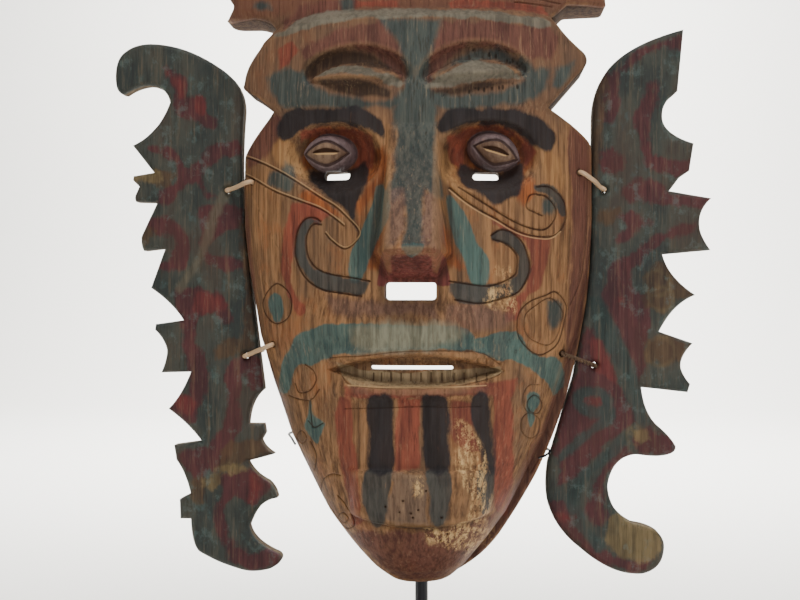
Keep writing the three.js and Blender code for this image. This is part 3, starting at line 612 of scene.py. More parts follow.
def make_face():
    """One closed skin: each row runs over the front, down the right edge, across the back and up the left."""
    left, right = side_rows()
    u = np.linspace(0, 1, FRONT_COLUMNS + 1)
    x = left[:, :1] + (right[:, :1] - left[:, :1]) * u
    h = keep_order(left, right, x, left[:, 1:] + (right[:, 1:] - left[:, 1:]) * u)
    edge_gap = np.full(x.shape, 99.0)
    border = (u < 0.08) | (u > 0.92)
    close = np.broadcast_to(border, x.shape) | (h < 8) | (h > 355) | ((h > 325) & (h < 350))
    edge_gap[close] = gap_to_path(x[close], h[close], face_outline())
    front = to_world(x, h, carved_depth(x, h, edge_gap))

    down = np.linspace(1, 0, WALL_STEPS + 2)[None, 1:-1]

    def wall(side, column):
        edge = RIM_Y / MM - front[:, column, 1:2] / MM
        return to_world(side[:, :1] + 0 * down, side[:, 1:] + 0 * down, edge * down)

    inset = np.minimum([0, 1.5, 4, 8], (right[:, :1] - left[:, :1]) * [0, 0.04, 0.1, 0.18])
    spread = hollow_half_width(left[:, 1:]) * BACK_SHARES[::-1]
    back_x = np.clip(spread, left[:, :1] + inset[:, -1:], right[:, :1] - inset[:, -1:])
    back_x = np.concatenate([right[:, :1] - inset, back_x, left[:, :1] + inset[:, ::-1]], axis=1)
    share = (back_x - left[:, :1]) / np.maximum(right[:, :1] - left[:, :1], 1e-6)
    back_h = keep_order(left, right, back_x, left[:, 1:] + (right[:, 1:] - left[:, 1:]) * share)
    back = to_world(back_x, back_h, hollow_depth(back_x, back_h))

    points = np.concatenate([front, wall(right, -1), back, wall(left, 0)[:, ::-1]], axis=1)
    faces = grid_faces(points.shape[0], points.shape[1], closed_columns=True)
    piece = new_piece("mask_carving", points, faces)
    merge_doubles(piece)
    refine(piece)
    return piece


def needs_detail(x, h):
    """True along the incised lines, on the raised eyes and along the teeth."""
    wanted = (np.abs(x - 1) < 50) & (np.abs(h - 131) < 9)
    for eye in EYES:
        wanted |= eye_share(x, h, *eye) > -0.16
    for points, closed, width, _ in CARVED_LINES:
        path = flowing(points, closed)
        close = near(x, h, path, width)
        wanted[close] |= gap_to_path(x[close], h[close], path) < width / 2 + 0.6
    for hole_x, hole_h, radius in WORMHOLES:
        wanted |= np.hypot(x - hole_x, h - hole_h) < radius + 1
    return wanted


def refine(piece):
    """Cuts each front cell that holds fine carving into nine, and sets the new corners on the carved form."""
    made = bmesh.new()
    made.from_mesh(piece.data)
    cells = [f for f in made.faces if f.normal.y < -0.05 and len(f.verts) == 4]
    middles = np.array([f.calc_center_median()[:] for f in cells]) / MM
    wanted = needs_detail(middles[:, 0], middles[:, 2] - CHIN_Z / MM)
    edges = {e for f, want in zip(cells, wanted) if want for e in f.edges}
    old = len(made.verts)
    bmesh.ops.subdivide_edges(made, edges=list(edges), cuts=2, use_grid_fill=True)
    made.verts.ensure_lookup_table()
    fresh = made.verts[old:]
    places = np.array([v.co[:] for v in fresh]) / MM
    x, h = places[:, 0], places[:, 2] - CHIN_Z / MM
    depth = carved_depth(x, h, gap_to_path(x, h, face_outline()))
    for corner, d in zip(fresh, depth):
        corner.co.y = RIM_Y - d * MM
    made.to_mesh(piece.data)
    made.free()


def rounded_box(x, h, width, tall, corner):
    """A rounded rectangle's outline, five points to each corner."""
    w, t = width / 2 - corner, tall / 2 - corner
    turns = np.linspace(0, math.pi / 2, 5)
    parts = []
    for k, (sx, sh) in enumerate(((1, 1), (-1, 1), (-1, -1), (1, -1))):
        a = turns + k * math.pi / 2
        parts.append(np.stack([x + sx * w + corner * np.cos(a), h + sh * t + corner * np.sin(a)], axis=1))
    return np.concatenate(parts)


CUTTER_DEPTHS = (-20, 130)


def prism_points(path, low, high):
    """Points and faces of a closed straight prism from depth low to depth high."""
    count = len(path)
    points = np.concatenate([to_world(path[:, 0], path[:, 1], np.full(count, d)) for d in (low, high)])
    ring = np.arange(count)
    after = (ring + 1) % count
    walls = [(a, b, b + count, a + count) for a, b in zip(ring, after)]
    return points, walls + [tuple(ring[::-1]), tuple(ring + count)]


def cut_through(piece, paths):
    """Cuts prisms front to back out of a closed piece, and keeps the result as plain mesh."""
    points, faces = [], []
    for path in paths:
        p, f = prism_points(path, *CUTTER_DEPTHS)
        base = sum(len(q) for q in points)
        points.append(p)
        faces += [[int(v) + base for v in face] for face in f]
    cutter = new_piece("cutter", np.concatenate(points), faces, smooth=False)
    merge_doubles(cutter)
    cut = piece.modifiers.new("cuts", "BOOLEAN")
    cut.operation = "DIFFERENCE"
    cut.solver = "MANIFOLD"
    cut.object = cutter
    depsgraph = bpy.context.evaluated_depsgraph_get()
    result = bpy.data.meshes.new_from_object(piece.evaluated_get(depsgraph))
    piece.modifiers.clear()
    result.materials.clear()
    piece.data = result
    bpy.data.objects.remove(cutter)


# Painted patches, each a closed outline, in the order in which the colours lie over one another

PAINT = {
    "orange": (
        ((-28.5, 258), (-17, 258), (-15, 250), (-15.5, 241), (-20, 233.5), (-24.5, 226), (-29, 214.5),
         (-33, 212.5), (-33.5, 227), (-29, 233.5), (-27, 245)),
        ((-14.5, 220.5), (-13.5, 210.5), (-14.5, 200.5), (-15.5, 188.5), (-24, 188.5), (-27, 191),
         (-23.5, 200.5), (-18.5, 213)),
        ((15.5, 215), (20, 210.5), (23.5, 200.5), (28.5, 188.5), (15.5, 188.5), (15, 200.5)),
        ((-64.5, 261.5), (-61.5, 268), (-55, 271.5), (-43.5, 272), (-33.5, 268.5), (-28, 260.5), (-28, 251),
         (-34, 247), (-60, 247), (-64.5, 246.5), (-67.5, 253.5)),
        ((26.5, 269), (36.5, 271.5), (46.5, 272), (56.5, 268.5), (65, 263), (70, 256.5), (68, 247.5),
         (62, 242.5), (33.5, 247.5), (27.5, 245.5), (23, 250.5), (21.5, 261)),
        ((58, 236), (66, 243), (70, 232), (63, 224), (58, 228)),
        ((-58, 236), (-52, 231), (-47, 224), (-41, 219), (-50, 222), (-60, 227), (-66, 232)),
    ),
    "tan": (
        ((17, 257), (22.5, 257), (22, 247), (24.5, 240), (32, 230.5), (32, 224.5), (25.5, 228.5), (20, 235),
         (16, 240), (15, 248)),
        ((-84, 263), (-76, 265), (-69, 262), (-67, 254.5), (-60.5, 244.5), (-60.5, 239), (-69, 245),
         (-79, 250.5), (-84.5, 257)),
        ((75, 262), (84, 254), (88, 238), (82, 228), (76, 238), (72, 250)),
    ),
    "maroon": (
        ((91, 275), (106.5, 263), (107.5, 207.5), (105.5, 171.5), (100.5, 135.5), (87.5, 96), (78.5, 76),
         (63.5, 47.5), (39.5, 14), (8, -1), (-12, 9.5), (-32.5, 27), (-51, 49.5), (-68.5, 72.5), (-76, 96),
         (-89, 122.5), (-99, 147), (-105, 177.5), (-107, 211.5), (-101.5, 228.5), (-98.5, 207.5),
         (-96.5, 177.5), (-93, 150.5), (-83, 124), (-76.5, 105.5), (-68.5, 83.5), (-52, 55), (-40, 34),
         (-30, 36), (-10.5, 40), (15, 41), (32, 43), (49.5, 48), (59, 65.5), (68, 89.5), (77.5, 105.5),
         (86.5, 126.5), (89, 171.5), (91, 212.5), (91, 235.5), (87.5, 258)),
        ((-103.5, 262.5), (-82, 281), (-76, 277.5), (-81, 265), (-86.5, 254), (-101.5, 251)),
        ((-42, 327), (-16.5, 331), (-6.5, 314.5), (-4, 296), (-12, 299.5), (-23.5, 312.5), (-39, 316.5),
         (-55, 313.5), (-62.5, 308.5), (-66, 315.5)),
        ((16, 330), (79, 328), (83.5, 322.5), (76.5, 309.5), (60.5, 312), (43.5, 316), (31, 316.5),
         (18.5, 308), (10.5, 295.5), (6, 294.5), (9.5, 308.5)),
        ((-79.5, 336.5), (-67, 343.5), (-43.5, 344.5), (-42, 339.5), (-67, 335), (-77, 327.5)),
        ((79, 281), (99, 307), (98, 298.5), (83.5, 282.5)),
    ),
    "red": (
        ((-42.5, 117.5), (-34.5, 116), (-34, 92), (-31, 75.5), (-30.5, 45), (-35, 41.5), (-37.5, 56.5),
         (-41.5, 74), (-44, 91.5), (-45, 105.5)),
        ((-9, 116), (4, 116), (4, 93), (5.5, 76.5), (-9.5, 76), (-10, 98.5)),
        ((21.5, 115.5), (32.5, 114), (34, 98.5), (36.5, 87), (31, 86), (23.5, 93), (21.5, 101.5)),
        ((45, 124), (56, 126), (56.5, 97), (58, 66), (54, 39.5), (47, 51.5), (45.5, 74.5), (45, 98)),
        ((-40, 124), (-34.5, 122), (-7, 121), (26.5, 121.5), (49, 126), (59.5, 128), (57, 115.5), (43, 117.5),
         (15, 118), (-7, 116), (-39, 116.5)),
        ((-72, 228), (-58.5, 227), (-46.5, 221), (-55, 214), (-62.5, 216.5), (-67.5, 209), (-71, 194.5),
         (-72.5, 182), (-67, 171.5), (-62, 164.5), (-67, 163.5), (-75, 175), (-77.5, 189), (-76, 206.5)),
        ((45, 215.5), (55.5, 212), (69.5, 208), (79, 207), (76.5, 193), (72, 177), (61.5, 170.5), (58, 161.5),
         (52, 159), (51.5, 167), (62.5, 176), (68, 193), (63.5, 204.5), (52.5, 210)),
        ((-66, 270.5), (-39.5, 271), (-23.5, 265.5), (-22, 257.5), (-24.5, 247.5), (-36.5, 247),
         (-34.5, 261.5), (-49, 268), (-64.5, 263.5), (-68, 253.5)),
        ((18.5, 264), (32, 270), (49, 270.5), (64, 263.5), (71, 256.5), (64.5, 249), (61, 262.5),
         (46.5, 268.5), (31, 263.5), (27.5, 247.5), (19.5, 251.5)),
        ((-78, 318), (-70.5, 320.5), (-66, 315.5), (-73, 307), (-79, 304)),
        ((-36, 345.5), (-8.5, 344.5), (-8.5, 340.5), (-34, 340.5)),
        ((15, 344), (49, 344), (72.5, 341), (78, 335), (49, 338.5), (20.5, 339)),
    ),
    "teal": (
        ((-4, 235), (6, 235), (6, 202), (-3.5, 202)),
        ((-19, 331.5), (16, 331), (13, 321.5), (8.5, 310), (6, 298.5), (9.5, 290), (13.5, 278.5), (13, 261),
         (13, 246.5), (17.5, 229.5), (14.5, 225), (8, 233), (-4, 233), (-10.5, 225), (-16, 231.5),
         (-9, 246.5), (-10.5, 261), (-12, 277.5), (-10, 285.5), (-5.5, 292.5), (-4, 301.5), (-6.5, 312),
         (-12, 322)),
        ((-85.5, 301), (-75, 307), (-64, 302.5), (-59.5, 296.5), (-47.5, 288.5), (-30.5, 285), (-12, 284.5),
         (-5, 291.5), (-0.5, 287), (-2, 280), (-21.5, 280), (-39, 280.5), (-59.5, 282), (-75, 282.5),
         (-80, 284), (-84, 292.5)),
        ((6.5, 289), (20.5, 285.5), (43, 288), (54.5, 292), (66, 297), (71.5, 303.5), (77, 302.5), (75, 291),
         (69, 286), (55.5, 282.5), (37.5, 279.5), (20.5, 279), (10.5, 282)),
        ((10.5, 297), (22, 307), (32, 313.5), (49, 314), (61.5, 308.5), (69.5, 300), (65, 295.5), (58, 303.5),
         (46.5, 308), (33, 307), (22, 303)),
        ((-96.5, 350), (-86, 348.5), (-84, 343), (-91, 341.5), (-98, 344.5)),
        ((-42, 345.5), (-35.5, 345.5), (-36, 339), (-41, 340.5)),
        ((-85, 246), (-78.5, 246.5), (-75, 251.5), (-71, 249), (-69.5, 238), (-71, 233.5), (-78.5, 236),
         (-86.5, 240.5)),
        ((72.5, 229), (79, 230), (81.5, 225), (79, 219.5), (73.5, 220.5)),
        ((75.5, 171.5), (81.5, 173), (86, 169.5), (85, 162), (83, 157), (78.5, 154), (77.5, 161)),
        ((82, 303), (92.5, 309.5), (90.5, 302.5), (83.5, 291.5), (79, 293.5)),
    ),
    "clay": (
        ((-10.5, 232.5), (-5.5, 233.5), (-3, 224), (-2.5, 209.5), (-6.5, 204), (-11, 198.5), (-15.5, 199),
         (-14.5, 212), (-14, 226)),
        ((7.5, 229), (11, 230), (15, 226), (17.5, 214), (17.5, 198), (11, 197.5), (6.5, 201.5), (6.5, 214)),
    ),
    "wine": (
        ((-15, 199), (-3.5, 198.5), (1, 195), (5, 198.5), (16, 198.5), (20, 192), (22, 179), (-21, 179),
         (-19, 190)),
    ),
    "bright": (
        ((-3.5, 200.8), (5.5, 200.8), (4.5, 197.5), (1, 194.5), (-2.5, 197)),
        ((-20.5, 235.5), (-14.5, 234), (-11.5, 223.5), (-13, 213.5), (-19, 204.5), (-24.5, 195),
         (-29.5, 181.5), (-36.5, 181.5), (-36, 196.5), (-32, 205.5), (-28, 215.5), (-23.5, 225)),
        ((18.5, 230), (24, 227.5), (31, 215.5), (36.5, 204), (41.5, 196.5), (42.5, 189.5), (40, 180),
         (33.5, 180), (29, 193), (23.5, 204), (20, 217.5)),
        ((-82, 116.5), (-80, 130), (-74, 141), (-67, 150.5), (-57.5, 155.5), (-46, 158), (-34.5, 152.5),
         (-23, 145), (-21.5, 142), (-41.5, 140), (-52.5, 137), (-59, 133.5), (-66.5, 134.5), (-71.5, 128),
         (-74, 118)),
        ((28.5, 146.5), (43, 152), (53.5, 153.5), (60, 151), (66, 142), (75, 138), (82.5, 139), (88, 128.5),
         (87.5, 118.5), (81, 116.5), (75.5, 124.5), (67.5, 131.5), (57.5, 136.5), (49, 137.5), (38.5, 142)),
        ((-80.5, 175.5), (-76.5, 171.5), (-76, 165.5), (-78.5, 160.5), (-82.5, 159), (-86, 164.5),
         (-86.5, 171), (-84, 175)),
        ((-60.5, 113.5), (-58, 105), (-51.5, 100.5), (-53, 94.5), (-56.5, 88), (-61.5, 91.5), (-65.5, 98),
         (-62.5, 106)),
        ((-46, 156.5), (-28.5, 158.5), (-9, 158), (18.5, 156.5), (32.5, 153.5), (32.5, 144), (13, 144),
         (-9, 143.5), (-28.5, 142.5), (-44.5, 141)),
        ((65, 117), (70, 118.5), (73, 113.5), (71.5, 108.5), (69.5, 106.5), (70.5, 102), (68, 97),
         (65.5, 101), (64, 108), (64.5, 113)),
    ),
    # Mauve paint, and painted shade in the patch right under the nose slot.
    "mauve_and_shade": (
        ((-50, 173.5), (-29, 172.5), (-15, 170.5), (-16, 162.5), (-35.5, 161.5), (-46, 164.5)),
        ((17.5, 169), (49, 168), (55.5, 161.5), (50, 154.5), (32, 154), (18.5, 159)),
        ((-23, 170.5), (13, 170.5), (15.5, 160), (-1, 163), (-17.5, 163)),
        ((-37, 121.5), (-20, 121), (2, 121), (21.5, 121.5), (41, 122), (38, 120), (18.5, 118.5),
         (-20, 118.5), (-31.5, 119.5)),
    ),
    "taupe": (
        ((-13.5, 75), (7, 75), (9, 66.5), (7.5, 53.5), (9.5, 45), (-9.5, 45), (-16, 49), (-14, 60.5),
         (-10.5, 69)),
    ),
    "black": (
        ((-80.5, 272), (-78.5, 277), (-74, 280.5), (-65.5, 281.5), (-42, 281), (-27, 279.5), (-20.5, 275.5),
         (-16.5, 270), (-16.5, 263), (-21, 265.5), (-27, 268.5), (-39.5, 272), (-57.5, 271), (-67, 268.5),
         (-72, 265.5), (-77, 265), (-80.5, 268.5)),
        ((14.5, 274), (20.5, 278.5), (37.5, 279.5), (51.5, 279.5), (60.5, 278), (70.5, 275.5), (76.5, 271.5),
         (81.5, 264.5), (79.5, 257.5), (75, 255.5), (69, 258.5), (62, 264.5), (56, 269), (46, 271),
         (32, 270.5), (23.5, 267.5), (17, 265), (13.5, 268)),
        ((-60.5, 249), (-49, 246), (-36.5, 248.5), (-29, 252.5), (-27, 245.5), (-27, 235), (-30, 228),
         (-32.5, 224.5), (-31.5, 210.5), (-36, 217), (-40, 224.5), (-49, 230), (-58.5, 236.5), (-62, 242.5)),
        ((27, 250), (38, 245.5), (52, 246), (59, 249), (62, 246.5), (61, 232.5), (55.5, 228.5), (47.5, 226),
         (41.5, 228.5), (33, 234), (27, 239.5)),
        ((-25, 116.5), (-11, 116.5), (-11, 98.5), (-12, 76), (-26, 76), (-25, 92.5)),
        ((5, 114.5), (9.5, 118), (17, 117), (19.5, 111), (19.5, 93), (20, 76.5), (6.5, 76.5), (5, 93)),
        ((32.5, 115.5), (37, 119.5), (41.5, 117.5), (44, 106.5), (45.5, 74.5), (41.5, 74), (38, 87),
         (33.5, 101.5)),
    ),
    "grey": (
        ((69, 236.5), (78.5, 236.5), (85, 230), (87, 221.5), (84.5, 221), (81.5, 228), (75.5, 232.5),
         (69.5, 233.5)),
        ((-26, 76), (-12.5, 76.5), (-13.5, 59.5), (-16.5, 45), (-22, 42), (-26.5, 51.5), (-28.5, 60)),
        ((7, 77), (20, 77), (21, 59.5), (19.5, 48), (13.5, 43.5), (9, 49.5), (9, 63)),
        ((37.5, 76.5), (45, 75.5), (44.5, 56.5), (40.5, 49.5), (36.5, 54)),
    ),
    "lip": (
        ((-34.5, 156.5), (-17.5, 159.5), (15.5, 159), (27, 152.5), (18.5, 146), (-1, 143.5), (-23, 144),
         (-34.5, 148)),
    ),
    "olive": (
        ((-44.5, 137), (-30.5, 131.5), (-2, 129.5), (23.5, 132.5), (49, 134), (51.5, 130.5), (44.5, 127.5),
         (26.5, 123.5), (-7, 122), (-34.5, 123), (-40.5, 128)),
    ),
    "ledge": (
        ((-82, 328), (-75.5, 328.5), (-70, 334), (-64, 336), (-58, 337.5), (-49, 338.5), (-40, 338.5),
         (-31.5, 339.5), (-20, 339.5), (-8, 339.5), (3.5, 339.5), (20.5, 338), (37.5, 337), (49, 336),
         (60.5, 333.5), (69, 333.5), (79.5, 331.5), (79, 327.5), (72, 327.5), (63, 328), (54.5, 328.5),
         (49, 330.5), (37.5, 331.5), (20.5, 331.5), (-7.5, 332), (-24, 332), (-36.5, 332), (-42.5, 331.5),
         (-48, 331), (-54, 329.5), (-60, 328.5), (-66, 328), (-72, 326), (-76.5, 324), (-81.5, 324.5)),
        ((6, 291.5), (15, 298), (23.5, 303.5), (35, 306.5), (49, 305), (55.5, 302), (62.5, 296.5), (49, 296),
         (37.5, 295.5), (23.5, 292)),
        ((-59, 298), (-51, 304), (-39, 305.5), (-22, 302), (-12, 299), (-4.5, 294.5), (-6, 291.5),
         (-14.5, 292.5), (-22, 296), (-29, 298.5), (-45, 301), (-53.5, 299.5)),
    ),
    # Painted shade: in the hollow above the left brow leaf, on the brow leaves' lower sides and under the
    # chin block's step.
    "painted_shade": (
        ((-64, 308), (-54, 313.5), (-39, 315.5), (-23.5, 312), (-15.5, 306.5), (-8.5, 299.5), (-22, 303),
         (-39, 306), (-51, 305), (-59.5, 299), (-64.5, 299)),
        ((-56.5, 297.5), (-39, 298), (-22, 295), (-12, 290), (-13, 285.5), (-30.5, 287), (-47.5, 291.5)),
        ((9.5, 289.5), (23.5, 291), (37.5, 294.5), (60, 296), (51.5, 293), (35, 289.5), (15, 286)),
        ((-15.5, 46), (-7, 49), (1, 48.5), (10.5, 47), (19.5, 47.5), (18, 42.5), (10.5, 41), (1, 41),
         (-7.5, 42)),
    ),
    "pale": (
        ((24.5, 104), (31, 101.5), (37.5, 92.5), (40, 87), (42, 75), (38.5, 70), (43.5, 58), (41, 47.5),
         (45.5, 32.5), (42, 23), (32, 24.5), (23.5, 30.5), (20.5, 40.5), (27.5, 47.5), (32, 59), (27.5, 68),
         (23.5, 76), (23.5, 84.5), (27.5, 88.5), (26.5, 95)),
        ((47.5, 189.5), (55.5, 189.5), (55, 177), (55.5, 167), (49, 164.5), (42, 167), (40, 172.5), (46, 177),
         (49, 181.5)),
        ((-1, 74.5), (6.5, 74.5), (7, 64.5), (2, 60), (-0.5, 65.5)),
        ((6.5, 42.5), (20.5, 40.5), (26, 28), (15, 31), (6.5, 37.5)),
    ),
}
PAINT["grey"] += (SCROLL_LEFT_OUTER + SCROLL_LEFT_INNER[::-1], SCROLL_RIGHT_OUTER + SCROLL_RIGHT_INNER[::-1])
PECKED = (((12, 291.5), (22, 305), (34, 315), (52, 314), (62, 303), (48, 309), (34, 309.5), (22, 303)),
          ((16, 286), (40, 287), (62, 291), (64, 296), (45, 292), (20, 290)))


# The ear boards' outlines

LEFT_EAR = (
    (-177, 267.5), (-160.5, 275, -153.5, 294), (-155, 303, -165.5, 305), (-174, 305, -182, 299.5),
    (-187.5, 299, -188, 309), (-188.5, 321.5, -181.5, 326), (-175.5, 330.5, -166, 330.5),
    (-143.5, 330, -121.5, 314.5), (-107, 305, -107, 289), (-109.6, 256, -107.8, 231), (-102.9, 181),
    (-94.8, 116.5), (-103.5, 110, -104.5, 95), (-95, 95), (-94, 89.5), (-96.5, 85), (-95, 80, -88.5, 76.5),
    (-105, 72), (-101.5, 64, -92, 59.5), (-87, 55, -86.5, 49.5), (-98.5, 48, -104, 32),
    (-102.5, 22, -85.5, 15), (-80.5, 11, -90.5, 6), (-101.5, 2.3, -112, 6), (-124.5, 9.5, -135.5, 16),
    (-140, 21, -140.5, 36), (-147, 36), (-147.5, 48), (-140.5, 51.5), (-143.5, 64.5, -149.5, 72.5),
    (-150, 76, -151, 81.5), (-133.5, 84), (-141, 94.5, -154.5, 104), (-145.5, 113, -140.5, 127),
    (-159, 126.5), (-155, 135.5, -155.5, 141), (-157.5, 148, -163, 153), (-162.5, 156.5), (-145, 159),
    (-151.5, 169.5, -165.5, 179), (-156.5, 203.5), (-170, 202), (-172, 205, -171.5, 211), (-161.5, 232),
    (-175, 232.5), (-176.5, 235, -175, 237.5), (-173, 242), (-177, 246), (-176.5, 248.5), (-163.5, 250.5),
)
RIGHT_EAR = (
    (160, 334), (156.5, 297), (152, 293), (147, 288.5, 147.5, 281), (148, 271.5, 166, 265.5), (163.5, 249),
    (157.5, 245), (151.5, 237), (176.5, 232.5), (168.5, 225.5, 169.5, 215.5), (170, 209.5, 176, 201.5),
    (147.5, 199), (151, 185, 167, 174.5), (154, 169.5, 145.5, 152.5), (165.5, 145.5),
    (157.5, 137.5, 158.5, 130.5), (160, 125.5, 164, 121), (162.5, 116), (135, 119), (136.5, 104, 144, 96.5),
    (152.5, 89.5, 155.5, 83.5), (156, 78, 144, 77.5), (138.5, 77.5, 132, 78.5), (117.5, 77, 115, 59.5),
    (115.5, 44, 129.5, 37), (140.5, 35.5, 145, 31.5), (149.5, 27, 148.5, 21), (147.5, 9, 135, 6.5),
    (117.5, 5, 98, 22), (85.5, 31.5, 80.5, 44.5), (76.5, 54.5, 79.1, 73), (85.4, 94.5), (94.6, 125.5),
    (99.5, 153), (103, 177.5), (105, 202), (105.7, 281.5), (106, 299, 115.5, 311), (128, 326, 160, 334),
)


# Painted patches on the ear boards

